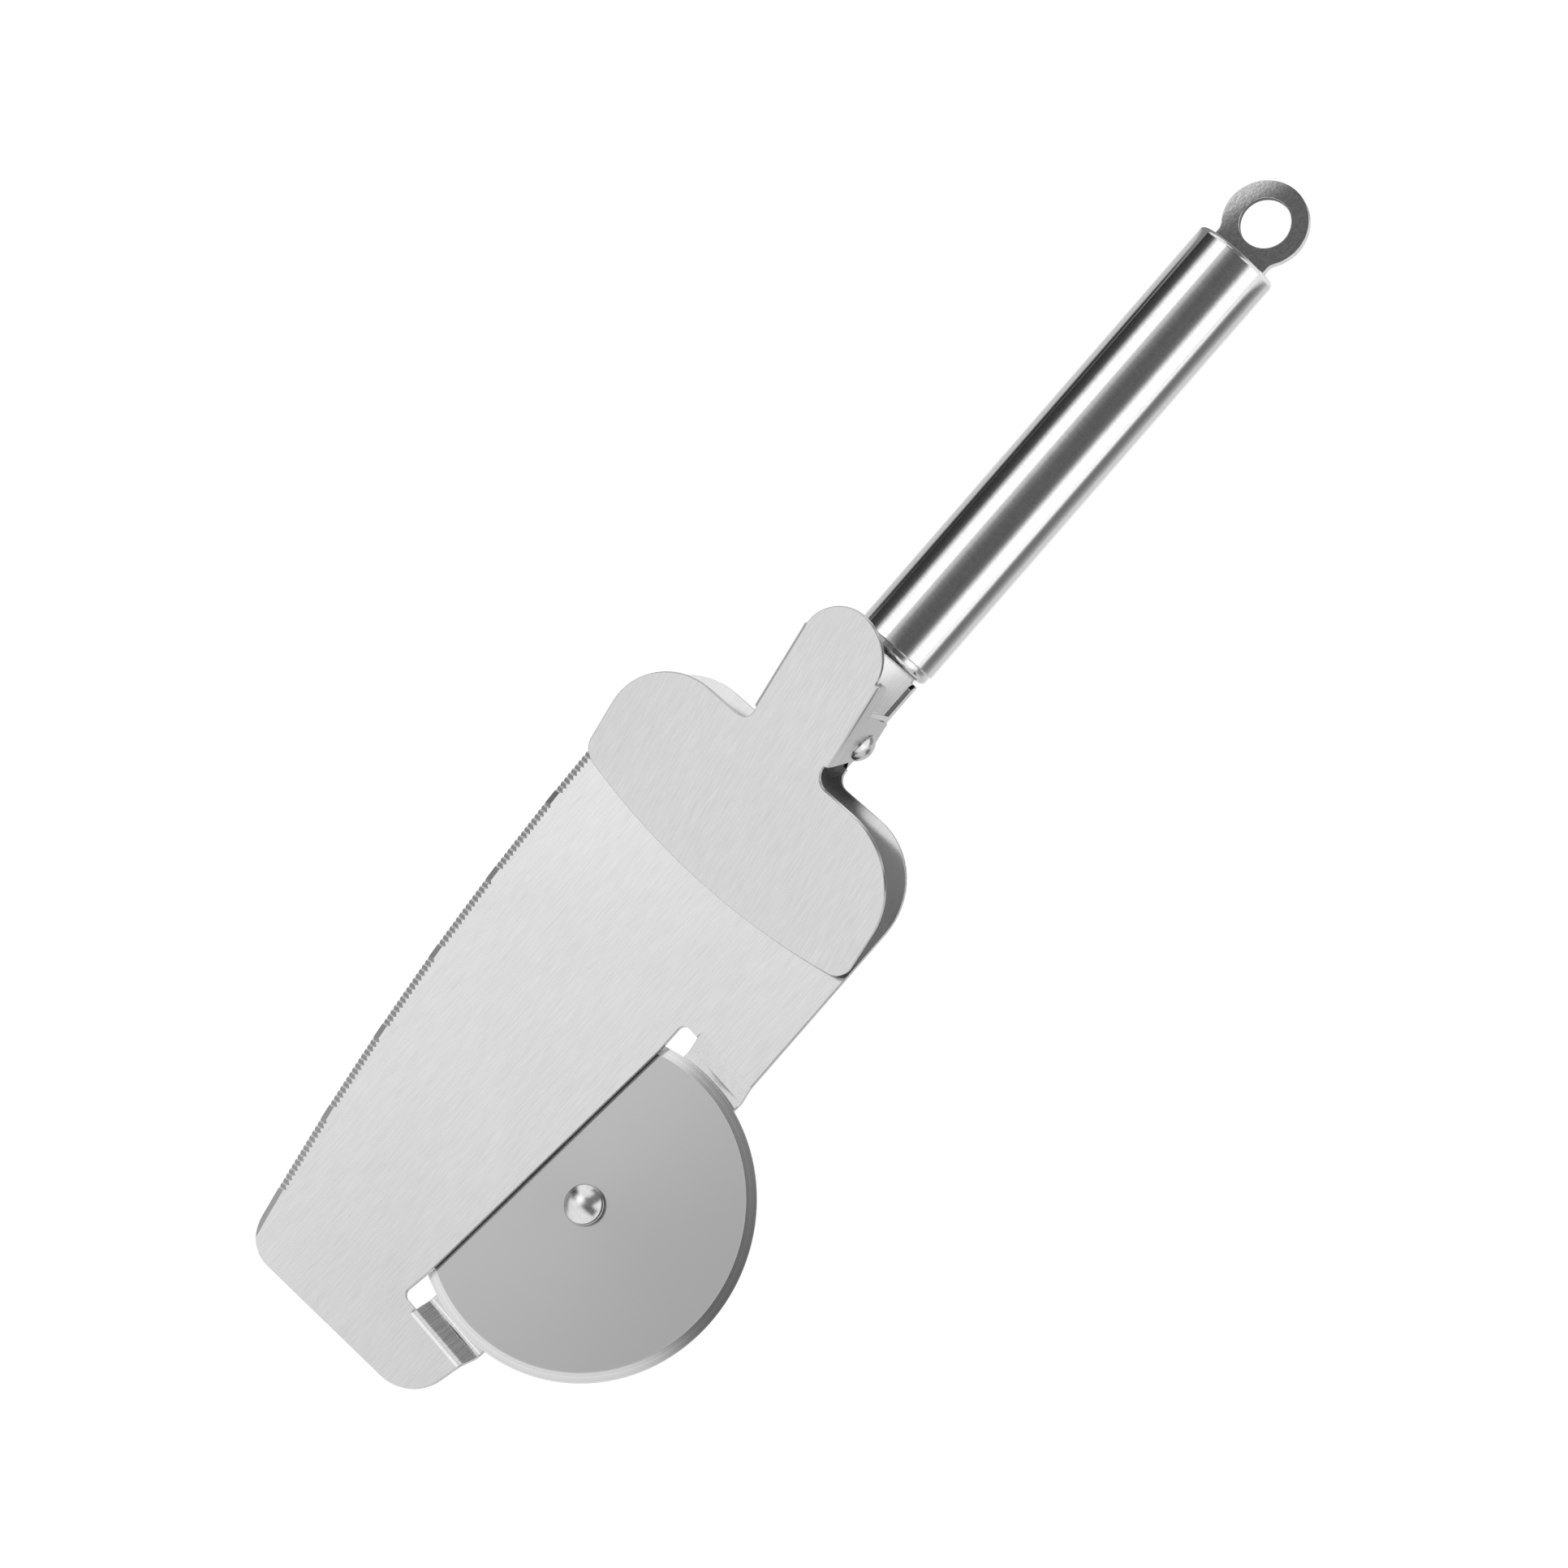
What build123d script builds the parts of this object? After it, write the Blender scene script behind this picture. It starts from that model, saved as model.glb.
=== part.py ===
from build123d import *
from math import asin, atan2, cos, degrees, hypot, pi, radians, sin, sqrt
import os

# A pizza server with a blade, a cutting wheel and a sprung presser plate, in millimetres.
# The origin is the centre of the hanging hole, on the handle's axis. The tool lies along +X,
# the cutting wheel is on the +Y side and the presser plate is above, on the +Z side.

# Handle tube
handle_diameter = 20.0
handle_wall = 0.8
handle_length = 113.9
front_rim_length = 2.4
front_rim_step = 0.45
front_rim_radius = 1.4
rear_rim_radius = 1.1
hang_hole_to_handle = 9.0

# Hanging ring, with its tongue in the end of the tube
hang_hole_diameter = 11.3
hang_ring_diameter = 19.1
hang_ring_thickness = 1.8
hang_neck_width = 14.2
hang_neck_fillet = 2.8
hang_tongue_length = 14.0
end_cap_thickness = 1.5

# Blade, a single pressed sheet
sheet = 1.0
blade_drop = 1.9
blade_width = 79.0
blade_length = 160.4
rear_corner_radius = 17.5
serrated_side_radius = 670.0
serrated_tip_fillet = 9.0
wheel_tip_fillet = 11.0
tip_taper = 11.6
taper_start_setback = 16.0
strip_edge_inset = 7.6
neck_junction_fillet = 3.0
flat_before_blade = 3.4

# Neck, a channel between the blade and the handle
neck_width = 17.6
neck_length = 26.5
neck_gap = 1.0
flange_height = 3.0
flange_end_fillet = 1.6
bend_inner_radius = 0.5
tang_width = 14.0
tang_length = 26.0
lug_length = 13.0
lug_behind_pivot = 8.5
lug_rise = 4.0
lug_lean = 2.2
lug_fillet = 3.2
lug_foot_fillet = 1.2
plug_length = 22.0
plug_recess = 0.4

# Slot for the wheel, and the strip beside it that is pressed down
slot_angle = 5.3
slot_half_length = 42.2
slot_edge_inset = 13.0
slot_end_flare = 0.6
slot_flare_length = 8.0
slot_corner_radius = 1.6
strip_inner_inset = 9.2
joggle_run = 3.9
joggle_past_slot = 0.75
joggle_bend_radius = 2.0

# Serrated edge
tooth_pitch = 1.2
teeth_in_group = 15
tooth_groups = 6
plain_length = 3.1
first_tooth_from_crown = 6.5
grind_width = 1.5
edge_thickness = 0.25
tooth_depth = 0.33
tooth_slant = 8.0
groove_floor_share = 0.62

# Cutting wheel and its rivet
wheel_diameter = 76.1
wheel_thickness = 1.2
wheel_bevel_width = 2.2
wheel_edge_thickness = 0.2
wheel_to_tip = 56.7
wheel_offset = 28.3
wheel_side_gap = 0.5
wheel_play = 0.1
rivet_shank_diameter = 5.0
rivet_head_diameter = 8.4
rivet_rim_height = 0.5
rivet_dome_height = 1.6
rivet_tail_diameter = 7.4
rivet_tail_height = 1.3
washer_diameter = 9.0
upper_washer_thickness = 0.9
washer_groove = 0.12
washer_chamfer = 0.15

# Presser plate
presser_tilt = 26.0
presser_length = 73.1
presser_width = 78.8
presser_overlap = 35.1
presser_lift = 0.15
presser_side_shift = 0.8
wing_length = 36.2
front_arc_radius = 158.0
wing_front_fillet = 4.5
wing_rear_fillet = 18.0
stem_width = 20.0
stem_root_fillet = 3.4
thumb_radius = 10.2
ear_gap = 1.2
ear_bend_inner_radius = 0.2
ear_front_setback = 4.4
ear_length = 22.1
ear_tail_depth = 4.3
ear_tail_fillet = 3.0
ear_notch_setback = 9.2
ear_notch_fillet = 0.7
lobe_depth = 15.4
lobe_end_width = 9.3
lobe_front_fillet = 4.3
lobe_rear_fillet = 4.6

# Pivot pin
pivot_to_blade = 9.3
pivot_rise = 9.7
pin_diameter = 4.0
pin_head_diameter = 6.7
pin_head_rim = 0.3
pin_head_dome = 1.6
pin_tail_diameter = 5.8
pin_tail_height = 1.2

# Torsion spring on the pivot pin
wire_diameter = 1.0
coil_diameter = 6.4
coil_pitch = 1.5
full_turns = 3
wire_sides = 8
floor_leg_reach = 11.0
plate_leg_reach = 9.0
leg_clearance = 0.3

# Clearances between fitted pieces, and the overrun of the cuts
running_clearance = 0.05
seat_clearance = 0.02
plug_clearance = 0.1
overrun = 2.0

# Places worked out from the sizes above
handle_radius = handle_diameter / 2
bore_radius = handle_radius - handle_wall
handle_start_x = hang_hole_to_handle
handle_end_x = handle_start_x + handle_length
neck_start_x = handle_end_x + neck_gap
blade_rear_x = neck_start_x + neck_length
blade_tip_x = blade_rear_x + blade_length
blade_top = -blade_drop
blade_bottom = blade_top - sheet
blade_half = blade_width / 2
neck_half = neck_width / 2
bend_outer_radius = bend_inner_radius + sheet
crown_x = blade_rear_x + rear_corner_radius
pivot_x = blade_rear_x - pivot_to_blade
pivot_z = blade_top + pivot_rise
pin_radius = pin_diameter / 2
ear_inner = neck_half + ear_gap
ear_outer = ear_inner + sheet
ear_bend_outer_radius = ear_bend_inner_radius + sheet
wheel_radius = wheel_diameter / 2
wheel_x = blade_tip_x - wheel_to_tip
wheel_top = blade_bottom - wheel_side_gap
wheel_bottom = wheel_top - wheel_thickness
strip_top = wheel_bottom - wheel_side_gap
strip_bottom = strip_top - sheet
rivet_radius = rivet_shank_diameter / 2

# Plane of the slot: its x axis runs along the slot towards the tip, its y axis outwards
slot_direction = (cos(radians(slot_angle)), -sin(radians(slot_angle)), 0)


def slot_plane(height):
    return Plane(origin=(wheel_x, wheel_offset, height), x_dir=slot_direction, z_dir=(0, 0, 1))


def slot_point(along, across):
    """A point in the slot's own directions, as an X and Y of the whole tool."""
    turn = radians(slot_angle)
    return (
        wheel_x + along * cos(turn) + across * sin(turn),
        wheel_offset - along * sin(turn) + across * cos(turn),
    )


# Handle tube: a stepped bead round its front mouth, and a tighter rolled rim at the rear
front_step_x = handle_end_x - front_rim_length
front_bead_x = handle_end_x - front_rim_radius
bead_top_radius = handle_radius - front_rim_step
front_mouth_radius = bead_top_radius - front_rim_radius
front_bore_end_x = front_step_x - handle_wall
rear_rim_x = handle_start_x + rear_rim_radius
rear_mouth_radius = handle_radius - rear_rim_radius
with BuildPart() as handle_tube:
    with BuildSketch(Plane.XZ) as tube_wall:
        with BuildLine() as tube_profile:
            Polyline(
                (rear_rim_x, handle_radius),
                (front_step_x, handle_radius),
                (front_step_x, bead_top_radius),
                (front_bead_x, bead_top_radius),
            )
            CenterArc((front_bead_x, front_mouth_radius), front_rim_radius, 0, 90)
            Polyline(
                (handle_end_x, front_mouth_radius),
                (handle_end_x - handle_wall, front_mouth_radius),
                (front_bore_end_x, bore_radius),
                (rear_rim_x, bore_radius),
                (handle_start_x + handle_wall, rear_mouth_radius),
                (handle_start_x, rear_mouth_radius),
            )
            CenterArc((rear_rim_x, rear_mouth_radius), rear_rim_radius, 90, 90)
        make_face()
    revolve(axis=Axis.X)

# End cap behind the rear rim, with a slot for the ring's tongue
end_cap_x = rear_rim_x
plug_radius = bore_radius - plug_clearance
with BuildPart() as end_cap:
    with BuildSketch(Plane.YZ.offset(end_cap_x)) as cap_disc:
        Circle(plug_radius)
        Rectangle(
            hang_neck_width + 2 * plug_clearance,
            hang_ring_thickness + 2 * plug_clearance,
            mode=Mode.SUBTRACT,
        )
    extrude(amount=end_cap_thickness)

# Hanging ring, cut from plate with its neck and tongue
with BuildPart() as hang_ring:
    with BuildSketch(Plane.XY.offset(-hang_ring_thickness / 2)) as ring_outline:
        Circle(hang_ring_diameter / 2)
        tongue_end_x = handle_start_x + hang_tongue_length
        with Locations((tongue_end_x / 2, 0)):
            Rectangle(tongue_end_x, hang_neck_width)
        neck_corners = ring_outline.vertices().filter_by_position(
            Axis.X, 0, handle_start_x
        )
        fillet(neck_corners, hang_neck_fillet)
        Circle(hang_hole_diameter / 2, mode=Mode.SUBTRACT)
    extrude(amount=hang_ring_thickness)

# Tang plug that holds the blade's tang in the front of the tube
plug_end_x = front_bore_end_x - plug_recess
with BuildPart() as tang_plug:
    with BuildSketch(Plane.YZ.offset(plug_end_x - plug_length)) as plug_disc:
        Circle(plug_radius)
        with Locations((0, blade_bottom + sheet / 2)):
            Rectangle(
                tang_width + 2 * seat_clearance, sheet + 2 * seat_clearance, mode=Mode.SUBTRACT
            )
    extrude(amount=plug_length)

# Outline of the whole blade, which the pressed strip keeps too
edge_centre_y = serrated_side_radius - blade_half
tip_corner_y = edge_centre_y - sqrt(serrated_side_radius**2 - (blade_tip_x - crown_x) ** 2)
taper_x = blade_tip_x - taper_start_setback
taper_y = blade_half - strip_edge_inset
straight_end_x = slot_point(-slot_half_length, 0)[0]
mid_edge_x = (crown_x + blade_tip_x) / 2
mid_edge_y = edge_centre_y - sqrt(serrated_side_radius**2 - (mid_edge_x - crown_x) ** 2)
with BuildSketch() as blade_outline:
    with BuildLine() as blade_edge:
        Line(
            (blade_rear_x, rear_corner_radius - blade_half),
            (blade_rear_x, blade_half - rear_corner_radius),
        )
        CenterArc((crown_x, blade_half - rear_corner_radius), rear_corner_radius, 90, 90)
        Polyline(
            (crown_x, blade_half),
            (straight_end_x, blade_half),
            (taper_x, taper_y),
            (blade_tip_x, blade_half - tip_taper),
            (blade_tip_x, tip_corner_y),
        )
        ThreePointArc(
            (blade_tip_x, tip_corner_y), (mid_edge_x, mid_edge_y), (crown_x, -blade_half)
        )
        CenterArc((crown_x, rear_corner_radius - blade_half), rear_corner_radius, 180, 90)
    make_face()
    tip_corners = blade_outline.vertices().group_by(Axis.X)[-1].sort_by(Axis.Y)
    fillet(tip_corners[0], serrated_tip_fillet)
    tip_corners = blade_outline.vertices().group_by(Axis.X)[-1].sort_by(Axis.Y)
    fillet(tip_corners[-1], wheel_tip_fillet)

# Strip beside the slot, pressed down by an S bend at each end
ramp_top = slot_half_length + joggle_past_slot
ramp_bottom = ramp_top - joggle_run
strip_start = ramp_top + joggle_bend_radius / 2
flat_end = strip_start + joggle_run
level_top = blade_top - sheet / 2
level_bottom = strip_top - sheet / 2
strip_reach = blade_half - wheel_offset
with BuildPart() as pressed_strip:
    strip_plane = Plane(
        origin=(*slot_point(0, -strip_inner_inset), 0),
        x_dir=slot_direction,
        z_dir=(-sin(radians(slot_angle)), -cos(radians(slot_angle)), 0),
    )
    with BuildSketch(strip_plane) as strip_profile:
        with BuildLine() as strip_path:
            FilletPolyline(
                (-flat_end, level_top),
                (-ramp_top, level_top),
                (-ramp_bottom, level_bottom),
                (ramp_bottom, level_bottom),
                (ramp_top, level_top),
                (flat_end, level_top),
                radius=joggle_bend_radius,
            )
        trace(line_width=sheet)
    extrude(amount=-(strip_inner_inset + strip_reach + overrun))
    with BuildSketch(Plane.XY.offset(strip_bottom - overrun)) as strip_limit:
        add(blade_outline.sketch)
    extrude(amount=blade_top - strip_bottom + 2 * overrun, mode=Mode.INTERSECT)
    with BuildSketch(slot_plane(strip_bottom)) as rivet_hole:
        Circle(rivet_radius + seat_clearance)
    extrude(amount=wheel_side_gap + sheet, mode=Mode.SUBTRACT)

# Channel of the neck: a U section, trimmed to the outline of its flanges and lugs
lug_rear_x = pivot_x - lug_behind_pivot
lug_front_x = lug_rear_x + lug_length
lug_top = pivot_z + lug_rise
flange_top = blade_bottom + flange_height
channel_end_x = blade_rear_x - flat_before_blade
channel_height = lug_top - blade_bottom
with BuildPart() as neck_channel:
    with BuildSketch(Plane.YZ.offset(neck_start_x)) as channel_section:
        with Locations((0, blade_bottom + channel_height / 2)):
            Rectangle(neck_width, channel_height)
        fillet(channel_section.vertices().group_by(Axis.Y)[0], bend_outer_radius)
        with BuildSketch(mode=Mode.PRIVATE) as channel_hollow:
            with Locations((0, blade_top + channel_height / 2)):
                Rectangle(neck_width - 2 * sheet, channel_height)
            fillet(channel_hollow.vertices().group_by(Axis.Y)[0], bend_inner_radius)
        add(channel_hollow.sketch, mode=Mode.SUBTRACT)
    extrude(amount=channel_end_x - neck_start_x)
    with BuildSketch(Plane.XZ) as flange_outline:
        with BuildLine() as flange_edge:
            Polyline(
                (neck_start_x, blade_bottom),
                (neck_start_x, flange_top),
                (lug_rear_x, flange_top),
                (lug_rear_x + lug_lean, lug_top),
                (lug_front_x - lug_lean, lug_top),
                (lug_front_x, flange_top),
                (channel_end_x, blade_top),
                (channel_end_x, blade_bottom),
                close=True,
            )
        make_face()
        fillet(flange_outline.vertices().group_by(Axis.Y)[-1], lug_fillet)
        flange_corners = flange_outline.vertices().filter_by_position(
            Axis.Y, flange_top - seat_clearance, flange_top + seat_clearance
        ).sort_by(Axis.X)
        fillet(flange_corners[0], flange_end_fillet)
        fillet(flange_corners[1], lug_foot_fillet)
    extrude(amount=neck_width, both=True, mode=Mode.INTERSECT)
    with BuildSketch(Plane.XZ) as lug_holes:
        with Locations((pivot_x, pivot_z)):
            Circle(pin_radius + seat_clearance)
    extrude(amount=neck_width, both=True, mode=Mode.SUBTRACT)

# Blade with its slot, pressed strip, neck, tang and serrated edge
tang_end_x = plug_end_x - tang_length + plug_recess
with BuildPart() as blade:
    with BuildSketch(Plane.XY.offset(blade_bottom)) as flat_sheet:
        add(blade_outline.sketch)
        stub_length = flat_before_blade + rear_corner_radius
        with Locations((channel_end_x + stub_length / 2, 0)):
            Rectangle(stub_length, neck_width)
        junction_corners = flat_sheet.vertices().filter_by_position(
            Axis.X, blade_rear_x - seat_clearance, blade_rear_x + seat_clearance
        )
        fillet(
            junction_corners.filter_by_position(
                Axis.Y, -neck_half - seat_clearance, neck_half + seat_clearance
            ),
            neck_junction_fillet,
        )
    extrude(amount=sheet)
    with BuildSketch(slot_plane(blade_bottom)) as slot:
        with BuildLine() as slot_edge:
            flare_start = slot_half_length - slot_flare_length
            Polyline(
                (-slot_half_length, -strip_inner_inset),
                (-slot_half_length, -slot_edge_inset - slot_end_flare),
                (-flare_start, -slot_edge_inset),
                (flare_start, -slot_edge_inset),
                (slot_half_length, -slot_edge_inset - slot_end_flare),
                (slot_half_length, -strip_inner_inset),
                (slot_half_length, strip_reach + overrun),
                (-slot_half_length, strip_reach + overrun),
                close=True,
            )
        make_face()
        fillet(slot.vertices().group_by(Axis.Y)[0], slot_corner_radius)
        with Locations((0, (strip_reach + overrun - strip_inner_inset) / 2)):
            Rectangle(2 * strip_start, strip_reach + overrun + strip_inner_inset)
    extrude(amount=sheet, mode=Mode.SUBTRACT)
    with BuildSketch(Plane.XY.offset(blade_bottom)) as tang:
        with Locations(((tang_end_x + neck_start_x + bend_outer_radius) / 2, 0)):
            Rectangle(neck_start_x + bend_outer_radius - tang_end_x, tang_width)
    extrude(amount=sheet)
    add(pressed_strip.part)
    add(neck_channel.part)

    # Bevel ground on the serrated side
    grind_plane = Plane(
        origin=(crown_x, edge_centre_y, 0), x_dir=(0, -1, 0), z_dir=(-1, 0, 0)
    )
    grind_slope = (sheet - edge_thickness) / grind_width
    with BuildSketch(grind_plane) as grind_section:
        with BuildLine() as grind_edge:
            Polyline(
                (serrated_side_radius - grind_width, blade_top),
                (serrated_side_radius + overrun, blade_top - grind_slope * (grind_width + overrun)),
                (serrated_side_radius + overrun, blade_top + overrun),
                (serrated_side_radius - grind_width, blade_top + overrun),
                close=True,
            )
        make_face()
    revolve(
        axis=Axis((crown_x, edge_centre_y, 0), (0, 0, 1)),
        revolution_arc=degrees(asin((blade_tip_x - crown_x) / serrated_side_radius)),
        mode=Mode.SUBTRACT,
    )

    # Teeth: a saw-toothed cutter for each group, drawn inwards and up along the bevel, at a slant
    group_length = teeth_in_group * tooth_pitch
    bevel_angle = atan2(sheet - edge_thickness, grind_width)
    for group in range(tooth_groups):
        centre_arc = first_tooth_from_crown + group * (group_length + plain_length) + group_length / 2
        turn = centre_arc / serrated_side_radius
        inward = (-sin(turn) * cos(bevel_angle), cos(turn) * cos(bevel_angle), sin(bevel_angle))
        slant = turn + radians(tooth_slant)
        stroke = (-sin(slant) * cos(bevel_angle), cos(slant) * cos(bevel_angle), sin(bevel_angle))
        cutter_plane = Plane(
            origin=(
                crown_x + serrated_side_radius * sin(turn) - overrun * stroke[0],
                edge_centre_y - serrated_side_radius * cos(turn) - overrun * stroke[1],
                blade_bottom + edge_thickness - overrun * stroke[2],
            ),
            x_dir=(cos(turn), sin(turn), 0),
            z_dir=inward,
        )
        with BuildSketch(cutter_plane) as tooth_section:
            with BuildLine() as tooth_edge:
                tooth_points = [(-group_length / 2, 0)]
                for tooth in range(teeth_in_group):
                    tooth_start = tooth * tooth_pitch - group_length / 2
                    tooth_points.append((tooth_start + tooth_pitch * groove_floor_share, tooth_depth))
                    tooth_points.append((tooth_start + tooth_pitch, 0))
                tooth_points.append((group_length / 2, -overrun))
                tooth_points.append((-group_length / 2, -overrun))
                Polyline(*tooth_points, close=True)
            make_face()
        extrude(amount=3 * overrun, dir=stroke, mode=Mode.SUBTRACT)

# Cutting wheel, bevelled on both sides
with BuildPart() as cutting_wheel:
    wheel_plane = Plane(origin=(wheel_x, wheel_offset, 0), x_dir=(1, 0, 0), z_dir=(0, -1, 0))
    bevel_drop = (wheel_thickness - wheel_edge_thickness) / 2
    with BuildSketch(wheel_plane) as wheel_section:
        with BuildLine() as wheel_profile:
            Polyline(
                (rivet_radius + running_clearance, wheel_bottom),
                (wheel_radius - wheel_bevel_width, wheel_bottom),
                (wheel_radius, wheel_bottom + bevel_drop),
                (wheel_radius, wheel_top - bevel_drop),
                (wheel_radius - wheel_bevel_width, wheel_top),
                (rivet_radius + running_clearance, wheel_top),
                close=True,
            )
        make_face()
    revolve(axis=Axis((wheel_x, wheel_offset, 0), (0, 0, 1)))


def washer(bottom, top):
    """A washer round the wheel's rivet, with its outer rims chamfered."""
    with BuildPart() as ring:
        with BuildSketch(Plane.XY.offset(bottom)) as ring_section:
            with Locations((wheel_x, wheel_offset)):
                Circle(washer_diameter / 2)
                Circle(rivet_radius + seat_clearance, mode=Mode.SUBTRACT)
        extrude(amount=top - bottom)
        outer_rims = ring.edges().filter_by(GeomType.CIRCLE).group_by(SortBy.RADIUS)[-1]
        chamfer(outer_rims, washer_chamfer)
    return ring


lower_washer_top = wheel_bottom - wheel_play
upper_washer_bottom = wheel_top + wheel_play
upper_washer_top = upper_washer_bottom + upper_washer_thickness
lower_washer = washer(strip_top, lower_washer_top)
upper_washer = washer(upper_washer_bottom, upper_washer_top)

# Rivet of the wheel, with a domed head above and a peened tail under the strip
head_bottom = upper_washer_top + washer_groove
head_rim_top = head_bottom + rivet_rim_height
head_radius = rivet_head_diameter / 2
tail_radius = rivet_tail_diameter / 2
tail_bottom = strip_bottom - rivet_tail_height
with BuildPart() as wheel_rivet:
    with BuildSketch(wheel_plane) as rivet_section:
        with BuildLine() as rivet_profile:
            Polyline(
                (0, tail_bottom),
                (tail_radius / 2, tail_bottom),
                (tail_radius, strip_bottom - rivet_tail_height / 2),
                (tail_radius, strip_bottom),
                (rivet_radius, strip_bottom),
                (rivet_radius, head_bottom),
                (head_radius, head_bottom),
                (head_radius, head_rim_top),
            )
            head_sphere = (head_radius**2 + rivet_dome_height**2) / (2 * rivet_dome_height)
            RadiusArc((head_radius, head_rim_top), (0, head_rim_top + rivet_dome_height), -head_sphere)
            Line((0, head_rim_top + rivet_dome_height), (0, tail_bottom))
        make_face()
    revolve(axis=Axis((wheel_x, wheel_offset, 0), (0, 0, 1)))

# Presser plate: its plane rises towards the handle from the front edge on the blade
tilt = radians(presser_tilt)
presser_front_x = blade_rear_x + presser_overlap
presser_origin = (presser_front_x, presser_side_shift, blade_top + presser_lift)
rising = (-cos(tilt), 0, sin(tilt))
plate_normal = (sin(tilt), 0, cos(tilt))
presser_plane = Plane(origin=presser_origin, x_dir=rising, z_dir=plate_normal)
side_plane = Plane(origin=presser_origin, x_dir=rising, z_dir=(0, 1, 0))
pivot_along = (presser_front_x - pivot_x) * cos(tilt) + (pivot_z - presser_origin[2]) * sin(tilt)
pivot_depth = (presser_front_x - pivot_x) * sin(tilt) - (pivot_z - presser_origin[2]) * cos(tilt)
ear_front = wing_length + ear_front_setback
ear_rear = ear_front + ear_length
thumb_centre = presser_length - thumb_radius
wing_half = presser_width / 2
arc_rise = front_arc_radius - sqrt(front_arc_radius**2 - wing_half**2)
ear_flat_half = ear_outer - ear_bend_outer_radius

with BuildPart() as presser_ears:
    channel_depth = lobe_depth + 2 * sheet
    with BuildSketch(Plane(presser_origin, x_dir=(0, -1, 0), z_dir=rising).offset(ear_front)) as ear_section:
        with Locations((0, sheet - channel_depth / 2)):
            Rectangle(2 * ear_outer, channel_depth)
        fillet(ear_section.vertices().group_by(Axis.Y)[-1], ear_bend_outer_radius)
        with BuildSketch(mode=Mode.PRIVATE) as ear_hollow:
            with Locations((0, -channel_depth / 2)):
                Rectangle(2 * ear_inner, channel_depth)
            fillet(ear_hollow.vertices().group_by(Axis.Y)[-1], ear_bend_inner_radius)
        add(ear_hollow.sketch, mode=Mode.SUBTRACT)
    extrude(amount=ear_length)
    with BuildSketch(side_plane) as ear_outline:
        with BuildLine() as ear_edge:
            Polyline(
                (ear_front, sheet),
                (ear_front, -lobe_depth),
                (ear_front + lobe_end_width, -lobe_depth),
                (ear_rear - ear_notch_setback, -ear_tail_depth),
                (ear_rear, -ear_tail_depth),
                (ear_rear, sheet),
                close=True,
            )
        make_face()
        lobe_corners = ear_outline.vertices().group_by(Axis.Y)[0].sort_by(Axis.X)
        fillet(lobe_corners[0], lobe_front_fillet)
        fillet(lobe_corners[-1], lobe_rear_fillet)
        tail_corners = ear_outline.vertices().filter_by_position(
            Axis.Y, -ear_tail_depth - seat_clearance, -ear_tail_depth + seat_clearance
        ).sort_by(Axis.X)
        fillet(tail_corners[-1], ear_tail_fillet)
        fillet(tail_corners[0], ear_notch_fillet)
        with Locations((pivot_along, -pivot_depth)):
            Circle(pin_radius + running_clearance, mode=Mode.SUBTRACT)
    extrude(amount=2 * ear_outer, both=True, mode=Mode.INTERSECT)

with BuildPart() as presser:
    with BuildSketch(presser_plane) as wing_outline:
        with BuildLine() as wing_edge:
            ThreePointArc((arc_rise, -wing_half), (0, 0), (arc_rise, wing_half))
            Polyline(
                (arc_rise, wing_half),
                (wing_length, wing_half),
                (wing_length, -wing_half),
                (arc_rise, -wing_half),
            )
        make_face()
        fillet(wing_outline.vertices().group_by(Axis.X)[0], wing_front_fillet)
        fillet(wing_outline.vertices().group_by(Axis.X)[-1], wing_rear_fillet)
        stem_start = wing_length - wing_rear_fillet
        with Locations(((stem_start + ear_front) / 2, 0)):
            Rectangle(ear_front - stem_start, stem_width)
        root_corners = wing_outline.vertices().filter_by_position(
            Axis.X, wing_length - seat_clearance, wing_length + seat_clearance
        )
        fillet(
            root_corners.filter_by_position(
                Axis.Y, -stem_width / 2 - seat_clearance, stem_width / 2 + seat_clearance
            ),
            stem_root_fillet,
        )
        with Locations(((ear_front + thumb_centre) / 2, 0)):
            Rectangle(thumb_centre - ear_front, 2 * ear_flat_half)
        with BuildLine() as thumb_edge:
            Polyline(
                (thumb_centre, thumb_radius),
                (ear_rear, thumb_radius),
                (ear_rear, -thumb_radius),
                (thumb_centre, -thumb_radius),
            )
            CenterArc((thumb_centre, 0), thumb_radius, -90, 180)
        make_face()
    extrude(amount=sheet)
    add(presser_ears.part)

# Pivot pin through the ears and the lugs, with a domed head on the wheel's side and a peened tail
pin_reach = ear_outer + running_clearance
pin_head_radius = pin_head_diameter / 2
pin_tail_radius = pin_tail_diameter / 2
pin_centre = (pivot_x, presser_side_shift, pivot_z)
head_curve = (pin_head_radius**2 + pin_head_dome**2) / (2 * pin_head_dome)
with BuildPart() as pivot_pin:
    with BuildSketch(Plane(origin=pin_centre, x_dir=(1, 0, 0), z_dir=(0, 0, 1))) as pin_section:
        with BuildLine() as pin_profile:
            Polyline(
                (0, -pin_reach - pin_tail_height),
                (pin_tail_radius / 2, -pin_reach - pin_tail_height),
                (pin_tail_radius, -pin_reach - pin_tail_height / 2),
                (pin_tail_radius, -pin_reach),
                (pin_radius, -pin_reach),
                (pin_radius, pin_reach),
                (pin_head_radius, pin_reach),
                (pin_head_radius, pin_reach + pin_head_rim),
            )
            RadiusArc(
                (pin_head_radius, pin_reach + pin_head_rim),
                (0, pin_reach + pin_head_rim + pin_head_dome),
                -head_curve,
            )
            Line((0, pin_reach + pin_head_rim + pin_head_dome), (0, -pin_reach - pin_tail_height))
        make_face()
    revolve(axis=Axis(pin_centre, (0, 1, 0)))

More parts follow.
